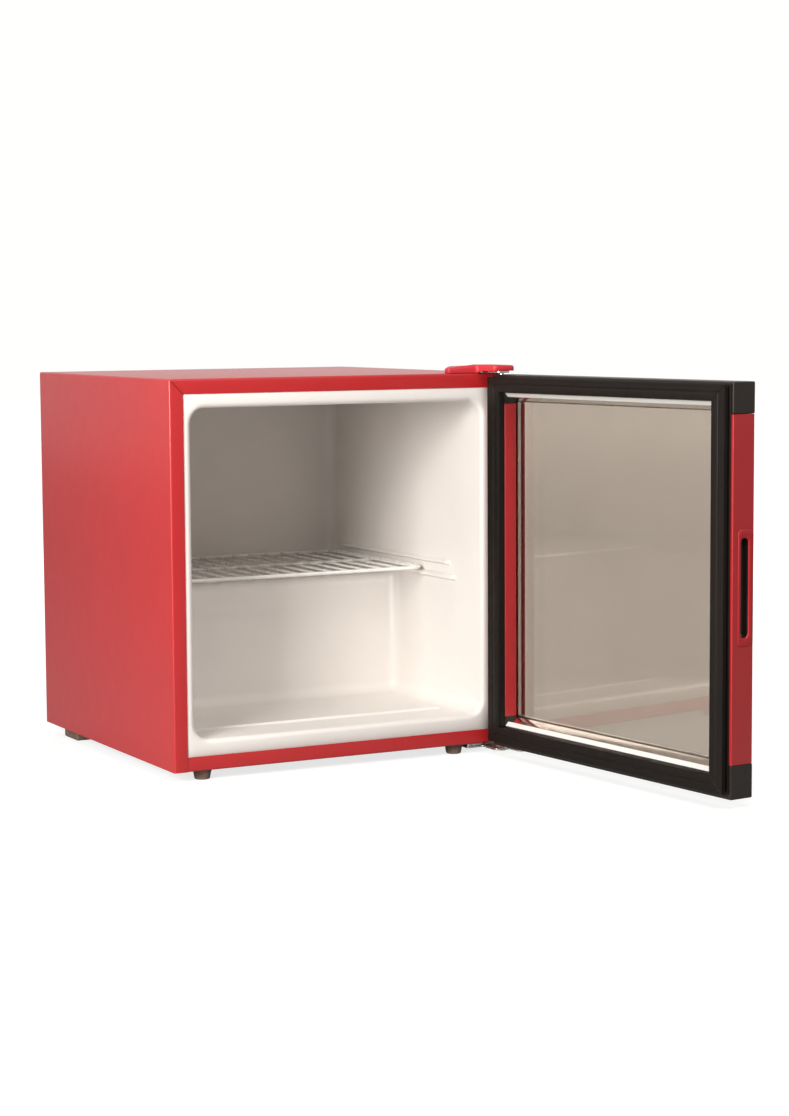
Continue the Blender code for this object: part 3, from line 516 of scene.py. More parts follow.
def bump_height(u, v, low_u, high_u, low_v, high_v, ramp):
    """How far a pressed bump has risen at a point: a flat-topped bar with round ends and soft sides."""
    radius = (high_v - low_v) / 2
    along = max(low_u + radius - u, u - (high_u - radius), 0.0)
    return smoothstep((radius - hypot(along, v - (high_v + low_v) / 2)) / ramp)


def slice_faces(solid, chosen, axis, places):
    """Cut the chosen flat faces across at each place along an axis."""
    normal = Vector([float(i == axis) for i in range(3)])
    for place in places:
        faces = [face for face in solid.faces if chosen(face)]
        parts = dict.fromkeys(part for face in faces for part in (*face.edges, *face.verts))
        bmesh.ops.bisect_plane(solid, geom=faces + list(parts), dist=1e-7,
                               plane_co=normal * place, plane_no=normal)


def food_space(mouth):
    """The rounded food space with the step over the machine bay, open at the front."""
    outline = [(-0.05, CAVITY_FLOOR), (STEP_FRONT, CAVITY_FLOOR), (STEP_FRONT, STEP_TOP),
               (CAVITY_BACK, STEP_TOP), (CAVITY_BACK, CAVITY_TOP), (-0.05, CAVITY_TOP)]
    solid = bmesh.new()
    left, right = ([solid.verts.new((x, y, z)) for y, z in outline] for x in (-CAVITY_HALF, CAVITY_HALF))
    solid.faces.new(left)
    solid.faces.new(reversed(right))
    for index in range(len(outline)):
        after = (index + 1) % len(outline)
        solid.faces.new((left[index], right[index], right[after], left[after]))
    bmesh.ops.recalc_face_normals(solid, faces=solid.faces)
    bevel(solid, CAVITY_RADIUS, 10)
    bmesh.ops.bisect_plane(solid, geom=solid.verts[:] + solid.edges[:] + solid.faces[:], dist=1e-7,
                           plane_co=(0, mouth, 0), plane_no=(0, -1, 0), clear_outer=True)
    return solid


def press_ribs(solid):
    """Shelf ribs in the side walls and a bead across the floor."""
    def on_wall(face):
        return all(abs(abs(v.co.x) - CAVITY_HALF) < HAIR for v in face.verts)

    def on_floor(face):
        return all(abs(v.co.z - CAVITY_FLOOR) < HAIR for v in face.verts)

    heights, lengths = set(), set(between(RIB_BACK - 0.008, RIB_BACK + 0.001, 9))
    for front, low, high in RIBS:
        heights |= set(between(low - 0.0004, high + 0.0004, 14))
        lengths |= set(between(front - 0.001, front + 0.008, 10))
    slice_faces(solid, on_wall, 2, sorted(heights))
    slice_faces(solid, on_wall, 1, sorted(lengths))
    slice_faces(solid, on_floor, 1, between(BEAD[2] - 0.0004, BEAD[3] + 0.0004, 12))
    slice_faces(solid, on_floor, 0, between(BEAD[0] - 0.001, BEAD[0] + 0.008, 9)
                + between(BEAD[1] - 0.008, BEAD[1] + 0.001, 9))
    for vert in solid.verts:
        x, y, z = vert.co
        if abs(abs(x) - CAVITY_HALF) < HAIR:
            rise = max(bump_height(y, z, front, RIB_BACK, low, high, RIB_RAMP) for front, low, high in RIBS)
            vert.co.x -= copysign(RIB_DEPTH * rise, x)
        elif abs(z - CAVITY_FLOOR) < HAIR:
            vert.co.z += BEAD_HEIGHT * bump_height(x, y, *BEAD, BEAD_RAMP)


def corner_at(co, half, low, high, radius):
    """The signs of the quarter a point is in, that corner's centre, and the way from it in the corner."""
    sign = Vector((copysign(1, co.x), copysign(1, co.z - (CAVITY_FLOOR + CAVITY_TOP) / 2)))
    centre = Vector((sign.x * (half - radius), (high if sign.y > 0 else low) - sign.y * radius))
    away = Vector((co.x, co.z)) - centre
    return sign, centre, away, away.x * sign.x > -HAIR, away.y * sign.y > -HAIR


def widen_mouth(rim):
    """Widen the corners of the rim, and return the way out from each of its points."""
    outward = {}
    for vert in dict.fromkeys(vert for edge in rim for vert in edge.verts):
        sign, centre, away, beside, above = corner_at(vert.co, CAVITY_HALF, CAVITY_FLOOR, CAVITY_TOP,
                                                      CAVITY_RADIUS)
        if beside and above:
            outward[vert] = away.normalized()
            centre += sign * (CAVITY_RADIUS - MOUTH_RADIUS)
            vert.co.x, vert.co.z = centre + outward[vert] * MOUTH_RADIUS
        else:
            outward[vert] = Vector((sign.x, 0)) if beside else Vector((0, sign.y))
    return outward


def add_lip(solid, rim, outward, mouth):
    """Roll the rim out to the flat flange behind the cabinet's face."""
    rows = [(LIP_RADIUS * (1 - cos(a)), mouth - LIP_RADIUS * sin(a)) for a in between(0, pi / 2, 8)[1:]]
    start = {vert: vert.co.copy() for vert in outward}
    previous = {vert: vert for vert in start}
    for out, y in rows + [(None, LINER_FACE)]:
        made = {}
        for vert, co in start.items():
            normal = outward[vert]
            x, z = Vector((co.x, co.z)) + normal * (out or 0.0)
            if out is None:
                sign, centre = corner_at(co, FLANGE_HALF, FLANGE_LOW, FLANGE_HIGH, FLANGE_RADIUS)[:2]
                beside, above = corner_at(co, CAVITY_HALF, CAVITY_FLOOR, CAVITY_TOP, MOUTH_RADIUS)[3:]
                if beside and above:
                    x, z = centre + normal * FLANGE_RADIUS
                elif normal.x:
                    x = sign.x * FLANGE_HALF
                else:
                    z = FLANGE_HIGH if sign.y > 0 else FLANGE_LOW
            made[vert] = solid.verts.new((x, y, z))
        for edge in rim:
            a, b = edge.verts
            solid.faces.new((previous[a], previous[b], made[b], made[a]))
        previous = made


def make_liner():
    """One vacuum-formed sheet: rounded food space with its step, pressed ribs, bead and front lip."""
    mouth = LINER_FACE + LIP_RADIUS
    solid = food_space(mouth)
    press_ribs(solid)
    rim = [edge for edge in solid.edges if edge.is_boundary]
    add_lip(solid, rim, widen_mouth(rim), mouth)
    bmesh.ops.recalc_face_normals(solid, faces=solid.faces)

    def towards_roof(face):
        middle = face.calc_center_median()
        return middle.z - abs(middle.y - 0.2)

    if max(solid.faces, key=towards_roof).normal.z > 0:
        bmesh.ops.reverse_faces(solid, faces=solid.faces)
    for vert in solid.verts:
        vert.co = cab(*vert.co)
    liner = piece("white_inner_liner", to_mesh(solid), "white_liner", "inner_liner", angle=40)
    sheet = liner.modifiers.new("sheet thickness", "SOLIDIFY")
    sheet.thickness = LINER - 0.0002
    sheet.offset = -1.0


# ---- shelf, thermostat and feet --------------------------------------------------------------
SHELF_Z = 0.2218
SHELF_Y = (0.150, 0.426)
SHELF_HALF_WIDTH = 0.202
SHELF_WIRES = 16


def make_shelf():
    """Coated wire rack: a round frame, sixteen runners with flattened welds, and one bar below."""
    corners = rounded_rectangle((-SHELF_HALF_WIDTH, SHELF_Y[0]), (SHELF_HALF_WIDTH, SHELF_Y[1]), 0.022, 10)
    shapes = [pipe([cab(p.x, p.y, SHELF_Z) for p in corners], 0.0025, 18, cyclic=True)]
    outer_wire = SHELF_HALF_WIDTH - 0.010
    weld = [(0, -0.0012), (0.0017, -0.0009), (0.0023, 0.0), (0.0017, 0.0009), (0, 0.0012)]
    for x in between(-outer_wire, outer_wire, SHELF_WIRES - 1):
        inset = 0.0035 if abs(x) > outer_wire - HAIR else 0.0
        front, back = SHELF_Y[0] + inset, SHELF_Y[1] - inset
        shapes.append(pipe([cab(x, y, SHELF_Z + 0.0004) for y in between(front, back, 6)], 0.0015))
        shapes += [turned(weld, cab(x, y, SHELF_Z + 0.0006), sides=12) for y in (front + 0.0012, back - 0.0012)]
    reach = SHELF_HALF_WIDTH - 0.001
    shapes.append(pipe([cab(x, 0.300, SHELF_Z - 0.0019) for x in between(-reach, reach, 6)], 0.0018))
    piece("wire_rack", shapes, "white_wire", "wire_shelf", "shelf")


THERMOSTAT_FACE = -0.176
THERMOSTAT_Y = (0.110, 0.205)
THERMOSTAT_Z = (0.384, 0.435)
DIAL_Y = sum(THERMOSTAT_Y) / 2
DIAL_Z = sum(THERMOSTAT_Z) / 2
NUMBERS_RADIUS = 0.0203
NUMBER_SIZE = 0.0048


def on_thermostat(depth, y, z, radius, steps):
    """A rounded block given by its depth range off the housing and its half sizes round the dial's axis."""
    return block((THERMOSTAT_FACE + depth[0], DIAL_Y + y[0], DIAL_Z + z[0]),
                 (THERMOSTAT_FACE + depth[1], DIAL_Y + y[1], DIAL_Z + z[1]), radius, steps)


def make_thermostat():
    """Housing on the left wall with a numbered scale around a ribbed dial."""
    outline = rounded_rectangle((THERMOSTAT_Y[0], THERMOSTAT_Z[0]), (THERMOSTAT_Y[1], THERMOSTAT_Z[1]), 0.009)
    case = slab(outline, (GAP - CAVITY_HALF, THERMOSTAT_FACE), lambda y, z, x: cab(x, y, z), 0.003, 5)
    slots = [on_thermostat((-0.002, 0.002), (y - 0.006, y + 0.006), (z - 0.0012, z + 0.0012), 0.0008, 2)
             for y in (-0.036, 0.036) for z in between(-0.0125, 0.0130, 3)]
    piece("thermostat_case", boolean(merged([case]), slots), "white_plastic", "thermostat_housing", weighted=True)

    profile = [(0.0, 0.0), (0.0165, 0.0), (0.0165, 0.0018), (0.0155, 0.0030, True), (0.0148, 0.0115, True),
               (0.0142, 0.0134, True), (0.0128, 0.0145), (0.0060, 0.0145), (0.0, 0.0145)]
    dial = turned(profile, cab(THERMOSTAT_FACE + GAP, DIAL_Y, DIAL_Z), "X", 120, ribs=(0.00028, 30))
    grip = on_thermostat((0.0120, 0.0202), (-0.0023, 0.0023), (-0.0123, 0.0123), 0.0012, 4)
    piece("thermostat_dial", boolean(merged([dial]), [grip], "UNION"), "white_plastic", "thermostat_knob",
          "knob", angle=30, weighted=True)
    mark = on_thermostat((0.0200, 0.0205), (-0.0006, 0.0006), (0.0040, 0.0112), 0.0001, 2)
    piece("dial_pointer", mark, "red_plastic", body="knob")

    for number in range(8):
        angle = radians(90 - 270 * number / 7)
        name = f"dial_number_{number}"
        text = bpy.data.curves.new(name, "FONT")
        text.body = str(number)
        text.size = NUMBER_SIZE
        text.extrude = 0.00012
        text.align_x, text.align_y = "CENTER", "CENTER"
        numeral = add("helper", text)
        spot = cab(THERMOSTAT_FACE + 0.0001, DIAL_Y - NUMBERS_RADIUS * cos(angle),
                   DIAL_Z + NUMBERS_RADIUS * sin(angle))
        upright = Matrix.Rotation(pi / 2, 4, "Z") @ Matrix.Rotation(pi / 2, 4, "X")
        mesh = evaluated(numeral)
        mesh.transform(Matrix.Translation(spot) @ upright)
        bpy.data.objects.remove(numeral, do_unlink=True)
        piece(name, mesh, "black_plastic")


def make_feet():
    """Ribbed levelling feet at the front and moulded blocks at the rear."""
    profile = [(0.0, -0.0004), (0.0116, -0.0004), (0.0120, -0.0008), (0.0120, -0.0034), (0.0116, -0.0040),
               (0.0113, -0.0044, True), (0.0104, -0.0095, True), (0.0101, -0.0112, True), (0.0098, -0.0118),
               (0.0094, -0.0127), (0.0088, -0.0130), (0.0, -0.0130)]
    for side in ("left", "right"):
        low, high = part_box(f"front_{side}_foot")
        middle = (low + high) / 2
        foot = turned(profile, Vector((middle.x, middle.y, ORIGIN.z)), sides=144, ribs=(0.0004, 24))
        piece(f"levelling_foot_{side}", [foot], "foot_plastic", f"front_{side}_foot", f"{side}_foot", angle=30)
        low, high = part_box(f"rear_{side}_foot")
        grooves = [block((x - 0.0007, y - 0.0011, low.z + 0.003), (x + 0.0007, y + 0.0011, high.z + 0.001),
                         0.0004, 2, room) for y in between(low.y, high.y, 6)[1:-1] for x in (low.x, high.x)]
        piece(f"rear_block_{side}", boolean(block(low, high, 0.0022, 4, room), grooves), "foot_plastic",
              f"rear_{side}_foot", weighted=True)


# ---- hinges ----------------------------------------------------------------------------------
PIVOT_X = WIDTH / 2 - 0.0005 - PIVOT_S
PIVOT_Y = HINGE.y - ORIGIN.y
PIN_HOLE = 0.0033
HINGE_PLATE = 0.0025
LOWER_PLATE_Z = -0.0060


def screw(name, centre, up, across, stands_for=None):
    """Pan head with a cross recess; up is the way the head faces."""
    profile = [(0, -0.0024), (0.0019, -0.0024), (0.0019, 0.0), (0.0037, 0.0), (0.0038, 0.0004), (0.0037, 0.0012),
               (0.0030, 0.0019), (0.0016, 0.0023), (0, 0.0024)]
    up, across = Vector(up), Vector(across).normalized()
    side = up.cross(across)

    def where(x, y, z):
        return centre + across * x + side * y + up * z

    head = merged([loft([[where(*point, height) for point in circle(radius, 32)] for radius, height in profile])])
    reach, half = 0.0022, 0.0004
    arm = [Vector(point) for point in ((reach, -half), (reach, half), (half, half))]
    cross = [Matrix.Rotation(pi / 2 * quarter, 2) @ point for quarter in range(4) for point in arm]
    recess = merged([slab(cross, (0.0012, 0.004), where)])
    piece(name, boolean(head, [recess]), "zinc_steel", stands_for)


def make_hinge_cover():
    """Moulded cover, low at its left end and domed over the pin, open underneath and cut short over the door."""
    low, high = (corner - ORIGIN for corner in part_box("top_hinge_cover"))
    seat, top = HEIGHT + 0.0004, high.z - 0.0001
    outline = [(0.1575, 0.0004), (0.2000, 0.0004), (0.2060, low.y), (0.2375, low.y), (0.2375, 0.0280),
               (0.1690, 0.0280), (0.1575, 0.0120)]
    outer = filleted(outline, [0.0020, 0.0050, 0.0060, 0.0060, 0.0060, 0.0070, 0.0060], 6)

    def ring(inset, level):
        points = []
        for p in shrunk(outer, inset):
            base = seat + (low.z - seat) * smoothstep((-0.001 - p.y) / 0.004)
            left_end, right_end = smoothstep((p.x - 0.1560) / 0.036), smoothstep((p.x - 0.212) / 0.02)
            peak = top - 0.0042 * (1 - left_end) - 0.0008 * right_end
            points.append(cab(p.x, p.y, base + (peak - base) * level))
        return points

    shoulder = 0.0032
    rings = [(0.0040, 0.74), (0.0022, 0.66), (0.0019, 0.0), (0.0002, 0.0), (0.0, 0.04)]
    rings += [(shoulder * (1 - cos(a)), 0.62 + 0.38 * sin(a)) for a in between(0, pi / 2, 8)]
    piece("hinge_cover_shell", [loft([ring(*row) for row in rings])], "cover_plastic", "top_hinge_cover", angle=40)


def make_hinges():
    """Plates, pins and screws of both hinges, with the cover of the upper one."""
    x, y, level = PIVOT_X, PIVOT_Y, HEIGHT + GAP
    outline = filleted([(0.162, 0.0026), (x - 0.017, 0.0026), (x - 0.010, y - 0.010), (x + 0.008, y - 0.010),
                        (x + 0.008, 0.022), (0.162, 0.022)], [0.003, 0.004, 0.006, 0.006, 0.003, 0.003], 8)
    plate = merged([slab(outline, (level, level + HINGE_PLATE), edge=0.0004)])
    piece("upper_hinge_plate", boolean(plate, [drill(cab(x, y, level), PIN_HOLE)]), "zinc_steel",
          "top_hinge_bracket", weighted=True)
    seat = level + HINGE_PLATE + GAP
    pin = [(0, 0.4717), (0.0022, 0.4718), (0.0030, 0.4728), (0.0030, seat), (0.0049, seat), (0.0050, seat + 0.0006),
           (0.0046, seat + 0.0012), (0.0030, seat + 0.0014), (0, seat + 0.0014)]
    piece("upper_pin", [turned(pin, cab(x, y, 0), sides=40)], "zinc_steel", "top_hinge_pin")
    for side, screw_x in (("left", 0.172), ("right", 0.198)):
        screw(f"upper_screw_{side}", cab(screw_x, 0.0115, seat), (0, 0, 1), (0.9, 0.44, 0),
              f"top_hinge_screw_{side}")
    make_hinge_cover()

    low = LOWER_PLATE_Z
    outline = filleted([(0.185, 0.003), (x - 0.016, 0.003), (x - 0.016, y - 0.011), (x + 0.008, y - 0.011),
                        (x + 0.008, 0.040), (0.185, 0.040)], [0.003, 0.004, 0.008, 0.008, 0.003, 0.003], 8)
    plate = merged([slab(outline, (low, low + HINGE_PLATE), edge=0.0004),
                    slab(rounded_rectangle((0.186, 0.004), (0.232, 0.039), 0.003),
                         (low + HINGE_PLATE + 0.0001, -GAP), edge=0.0006)])
    piece("lower_hinge_plate", boolean(plate, [drill(cab(x, y, low), PIN_HOLE)]), "zinc_steel",
          "bottom_hinge_bracket", weighted=True)
    pin = [(0, low - 0.0019), (0.0046, low - 0.0019), (0.0050, low - 0.0015), (0.0050, low - 0.0003),
           (0.0030, low - 0.0003), (0.0030, 0.0132), (0.0022, 0.0141), (0, 0.0142)]
    piece("lower_pin", [turned(pin, cab(x, y, 0), sides=40)], "zinc_steel", "bottom_hinge_pin")
    for side, screw_x in (("left", 0.195), ("right", 0.223)):
        screw(f"lower_screw_{side}", cab(screw_x, 0.028, low - GAP), (0, 0, -1), (0.8, 0.6, 0),
              f"bottom_hinge_screw_{side}")


# ---- door ------------------------------------------------------------------------------------
STILE_WIDTH = 0.028
CAP_TOP_BOTTOM = 0.4504
CAP_BOTTOM_TOP = 0.0402
REVEAL_TOP = 0.4653
REVEAL_BOTTOM = 0.0270
DOOR_TOP = 0.488
DOOR_BOTTOM = -0.001
GLASS_EDGE = 0.0160
GLASS_POCKET = (0.0180, 0.0316)
GLASS_INNER = (0.0183, 0.0213)
GLASS_SPACER = (0.0216, 0.0282)
GLASS_OUTER = (0.0285, 0.0313)
FRONT_LIP = 0.031
BEZEL_LOW, BEZEL_HIGH = (0.0086, 0.1792), (0.0322, 0.3172)      # corners in t and z
SLOT_LOW, SLOT_HIGH = (0.0129, 0.1893), (0.0251, 0.3064)
POCKET_LOW, POCKET_HIGH = (0.0112, 0.1876), (0.0262, 0.3080)
CUP_LOW, CUP_HIGH = (0.0115, 0.1879), (0.0259, 0.3077)
CUP_DEPTH = 0.0122
CUP_WALL = 0.0014
PAST = 0.01                     # how far a cutter stands past a face
FAR = 0.3


def make_stiles():
    """Painted upright frame pieces with eased edges and a rebate for the glass."""
    section = [(0, 0), (STILE_WIDTH, 0), (STILE_WIDTH, GLASS_POCKET[0]), (GLASS_EDGE, GLASS_POCKET[0]),
               (GLASS_EDGE, GLASS_POCKET[1]), (FRONT_LIP, GLASS_POCKET[1]), (FRONT_LIP, DOOR_THICKNESS),
               (0, DOOR_THICKNESS)]
    outline = filleted(section, [0.0012, 0.0006, 0.0003, 0, 0, 0.0003, 0.0008, 0.0026], 6)
    span = (CAP_BOTTOM_TOP, CAP_TOP_BOTTOM)
    door_piece("hinge_side_stile", [slab(outline, span, door)], "red_paint", "hinge_stile", angle=25)
    stile = merged([slab(outline, span, lambda s, t, z: door(DOOR_WIDTH - s, t, z))])
    recesses = [merged([slab(rounded_rectangle(low, high, radius, inset=inset),
                             (DOOR_WIDTH - depth, DOOR_WIDTH + PAST), door_across)])
                for low, high, radius, inset, depth in ((BEZEL_LOW, BEZEL_HIGH, 0.0063, -GAP, 0.0015),
                                                        (POCKET_LOW, POCKET_HIGH, 0.002, 0, CUP_DEPTH + GAP))]
    door_piece("handle_side_stile", boolean(stile, recesses), "red_paint", "handle_stile", angle=25, weighted=True)


def make_handle():
    """Finger recess: a rolled red surround and a black cup behind it."""
    def ring(outline, s):
        return [door(s, p.x, p.y) for p in outline]

    outer = rounded_rectangle(BEZEL_LOW, BEZEL_HIGH, 0.0060, 10)
    inner = rounded_rectangle(SLOT_LOW, SLOT_HIGH, 0.0058, 10)
    section = [(0.0, -0.0012), (0.0, -0.0001), (0.03, 0.0003), (0.10, 0.0006), (0.80, 0.0004), (0.92, 0.0001),
               (0.99, -0.0006), (1.0, -0.0012)]     # share of the way inwards, height over the frame's edge
    rings = [ring([a.lerp(b, share) for a, b in zip(outer, inner)], DOOR_WIDTH + height)
             for share, height in section]
    door_piece("grip_surround", [loft(rings, cyclic=True)], "red_plastic", "handle_bezel", angle=45)

    rim = CUP_DEPTH - 0.0015
    outside = [(0.0012, 0.0), (0.0004, 0.0004), (0.0, 0.0012), (0.0, rim)]      # inset, height from the bottom
    inside = [(0.0, rim), (0.0002, 0.0044), (0.0010, 0.0024), (0.0026, CUP_WALL)]
    rings = [ring(rounded_rectangle(CUP_LOW, CUP_HIGH, radius, inset=inset + wall), DOOR_WIDTH - CUP_DEPTH + height)
             for rows, wall, radius in ((outside, 0.0, 0.0050), (inside, CUP_WALL, 0.0034))
             for inset, height in rows]
    door_piece("grip_cup", [loft(rings)], "black_plastic", "handle_cup", angle=40)


def make_caps():
    """Black end rails with eased corners, opened for the window and the hinge sleeves."""
    for end, span, reveal_z, window_z, bush in (
            ("top", (CAP_TOP_BOTTOM + GAP, DOOR_TOP), (0.2, REVEAL_TOP), (0.2, 0.458), (0.468, 0.6)),
            ("bottom", (DOOR_BOTTOM, CAP_BOTTOM_TOP - GAP), (REVEAL_BOTTOM, 0.2), (0.0345, 0.2), (-0.1, 0.016))):
        cap = block((0, 0, span[0]), (DOOR_WIDTH, DOOR_THICKNESS, span[1]), 0.0016, 4, door)
        cutters = [block((edge, t[0], z[0]), (DOOR_WIDTH - edge, t[1], z[1]), where=door)
                   for edge, t, z in ((STILE_WIDTH, (-FAR, GLASS_POCKET[0] + 0.001), reveal_z),
                                      (GLASS_EDGE, GLASS_POCKET, reveal_z), (FRONT_LIP, (0.03, FAR), window_z))]
        cutters.append(drill(door(PIVOT_S, PIVOT_T, sum(bush) / 2), 0.0053, (bush[1] - bush[0]) / 2))
        door_piece(f"door_{end}_rail", boolean(cap, cutters), "black_plastic", f"door_{end}_cap", angle=30,
                   weighted=True)


GASKET_OUTER_S = 0.0035
GASKET_OUTER_Z = (0.0055, 0.4855)
GASKET_WELD = 0.0006
GASKET_SECTION = [   # millimetres in from the outer edge, millimetres off the frame, across a side
    (0.0, 0.3), (0.0, 1.2), (0.6, 1.8), (2.6, 2.2), (3.6, 2.8), (4.0, 4.0), (4.0, 5.4), (3.4, 6.3), (1.8, 7.0),
    (0.8, 7.6), (0.4, 8.4), (0.7, 9.0), (1.7, 9.4), (1.9, 9.7), (1.4, 10.0), (0.5, 10.2), (0.3, 10.5), (0.6, 10.8),
    (1.2, 10.9), (4.6, 10.6), (5.6, 10.75), (8.0, 10.95), (10.4, 10.75), (11.3, 10.6), (11.6, 10.3), (12.0, 10.6),
    (12.6, 10.8), (17.0, 10.8), (22.6, 10.9), (23.4, 10.6), (23.9, 9.8), (24.0, 8.6), (23.5, 7.9), (24.0, 7.2),
    (24.0, 0.3)]


def corners_of(s, z):
    """The four corners of a frame around the door, anticlockwise, from its ranges of s and z."""
    return [Vector(corner) for corner in ((s[0], z[0]), (s[1], z[0]), (s[1], z[1]), (s[0], z[1]))]


def make_gasket():
    """Magnetic seal: bellows and a flat face on one extrusion, welded at four mitred corners."""
    outers = corners_of((GASKET_OUTER_S, DOOR_WIDTH - GASKET_OUTER_S), GASKET_OUTER_Z)
    inner_s = STILE_WIDTH - 0.0005
    inners = corners_of((inner_s, DOOR_WIDTH - inner_s), (REVEAL_BOTTOM, REVEAL_TOP))
    ways = [Vector(way) for way in ((1, 0), (0, 1), (-1, 0), (0, -1))]
    width = GASKET_SECTION[-1][0]
    rings = []
    for index, (outer, inner) in enumerate(zip(outers, inners)):
        for shift, sink in ((ways[index - 1] * -GASKET_WELD, 0.0), (Vector((0, 0)), 0.0004),
                            (ways[index] * GASKET_WELD, 0.0)):
            ring = []
            for across, height in GASKET_SECTION:
                place = outer.lerp(inner, across / width) + shift
                off = height / 1000
                ring.append(door(place.x, -(off - sink * min(1.0, off / 0.006)), place.y))
            rings.append(ring)
    door_piece("magnetic_seal", [loft(rings, cyclic=True)], "gasket_rubber", "door_gasket", angle=30)


BEAD_PITCH = 0.0044
# thickness of the white strip laid on each bead's slope as a painted highlight
HIGHLIGHT_STRIP_THICKNESS = 0.00035


def make_glazing():
    """Two panes with ground edges, the perforated spacer and the polished beads, each bead with a white strip on its
    slope as a painted highlight.
    """
    s = (GLASS_EDGE + GAP, DOOR_WIDTH - GLASS_EDGE - GAP)
    z = (REVEAL_BOTTOM + GAP, REVEAL_TOP - GAP)
    for name, span, node in (("inner_pane", GLASS_INNER, "inner_glass"), ("outer_pane", GLASS_OUTER, "outer_glass")):
        mesh = block((s[0], span[0], z[0]), (s[1], span[1], z[1]), 0.0005, 2, door)
        door_piece(name, mesh, "glass", node, angle=30, weighted=True)

    edge = 0.002
    outer = ((s[0] + edge, s[1] - edge), (z[0] + edge, z[1] - edge))
    inner_s, inner_z = (STILE_WIDTH + 0.0005, DOOR_WIDTH - STILE_WIDTH - 0.0005), (0.0395, 0.4525)
    near, far = GLASS_SPACER
    rings = [[door(p.x, t, p.y) for p in corners_of(*frame_size)] for frame_size, t in (
        (outer, near), ((inner_s, inner_z), near + 0.0008), ((inner_s, inner_z), far - 0.0008), (outer, far))]
    door_piece("spacer_bar", [loft(rings, cyclic=True)], "aluminium", "glass_spacer", angle=30)
    beads = []
    for row, t in enumerate((near + 0.0022, far - 0.0022)):
        start = BEAD_PITCH / 2 * row + 0.003
        along_s, along_z = ([low + start + BEAD_PITCH * k for k in range(int((high - low - 0.006) / BEAD_PITCH))]
                            for low, high in (inner_s, inner_z))
        for side, way in ((0, 1), (1, -1)):
            beads += [stud(inner_s[side], t, place, way, 0) for place in along_z]
            beads += [stud(place, t, inner_z[side], 0, way) for place in along_s]
    door_piece("spacer_beads", beads, "white_plastic", angle=30)

    depth = GLASS_POCKET[0] - GAP
    span = (STILE_WIDTH + GAP, DOOR_WIDTH - STILE_WIDTH - GAP)
    for end, wall, sign in (("top", z[1], -1), ("bottom", z[0], 1)):
        bead = [(0.0002, 0.0), (depth, 0.0), (depth, 0.0108), (0.0052, 0.0055)]
        # white strip on the bead's slope: a painted highlight that stands in for the polished bead's reflection of the
        # bright surround
        highlight_strip_outline = [(0.0004, 0.0002), (0.0050, 0.0053), (0.0050 - HIGHLIGHT_STRIP_THICKNESS, 0.0053 + HIGHLIGHT_STRIP_THICKNESS),
                 (0.0004 - HIGHLIGHT_STRIP_THICKNESS, 0.0002 + HIGHLIGHT_STRIP_THICKNESS)]
        for name, section, radii, steps, finish, node, angle in (
                ("trim", bead, [0.0002] * 3 + [0.0010], 6, "bright_trim", f"{end}_glazing_bead", 20),
                ("painted_highlight_strip", highlight_strip_outline, 0.0001, 3, "white_plastic", None, 30)):
            outline = filleted([(t, wall + sign * rise) for t, rise in section], radii, steps)
            door_piece(f"{end}_{name}", [slab(outline, span, door_across)], finish, node, angle=angle)


def stud(s, t, z, way_s, way_z):
    """One drying bead showing through a hole in an inner face of the spacer."""
    return loft([[door(s + way_s * rise + a * abs(way_z), t + b, z + way_z * rise + a * abs(way_s))
                  for a, b in circle(radius, 8)]
                 for radius, rise in ((0.00095, -0.0001), (0.00085, 0.00015), (0.00045, 0.00028))])


def make_bushes_and_stop():
    """Sleeves that turn on the hinge pins, and the plate under the door."""
    for end, mouth, shut, bottom in (("top", 0.4874, 0.4683, 0.4710), ("bottom", -0.0009, 0.0157, 0.0150)):
        sleeve = [(0, shut), (0.0046, shut), (0.0050, shut + (mouth - shut) * 0.03), (0.0050, mouth),
                  (PIN_HOLE, mouth), (PIN_HOLE, bottom), (0, bottom)]
        shape = turned(sleeve, door(PIVOT_S, PIVOT_T, 0), sides=40)
        door_piece(f"{end}_sleeve", [shape], "white_plastic", f"{end}_hinge_bush")
    outline = rounded_rectangle((0.003, 0.002), (0.058, 0.022), 0.004)
    plate = merged([slab(outline, (-0.0032, -0.0013), door, edge=0.0003)])
    hole = drill(door(PIVOT_S, PIVOT_T, 0), 0.0036)
    door_piece("stop_plate", boolean(plate, [hole]), "zinc_steel", "door_stop_plate", weighted=True)


# ---- rear of the cabinet ---------------------------------------------------------------------
COMPRESSOR = (0.060, 0.372)
SHELL_RADIUS = 0.058
COIL_Y = 0.468
COIL_RADIUS = 0.0024
WIRE_RADIUS = 0.0007
BAY_WALL = 0.2775               # rear face of the plate that walls off the machine bay
COIL_LOW = 0.215
COIL_PITCH = 0.024
COIL_PASSES = 11
COIL_HIGH = COIL_LOW + (COIL_PASSES - 1) * COIL_PITCH
BAR_X = 0.130
BAR_HALF = 0.008
SHEET = 0.0015                  # folded steel of the bars
DRIER = (-0.110, 0.440)
DISCHARGE_X = 0.205


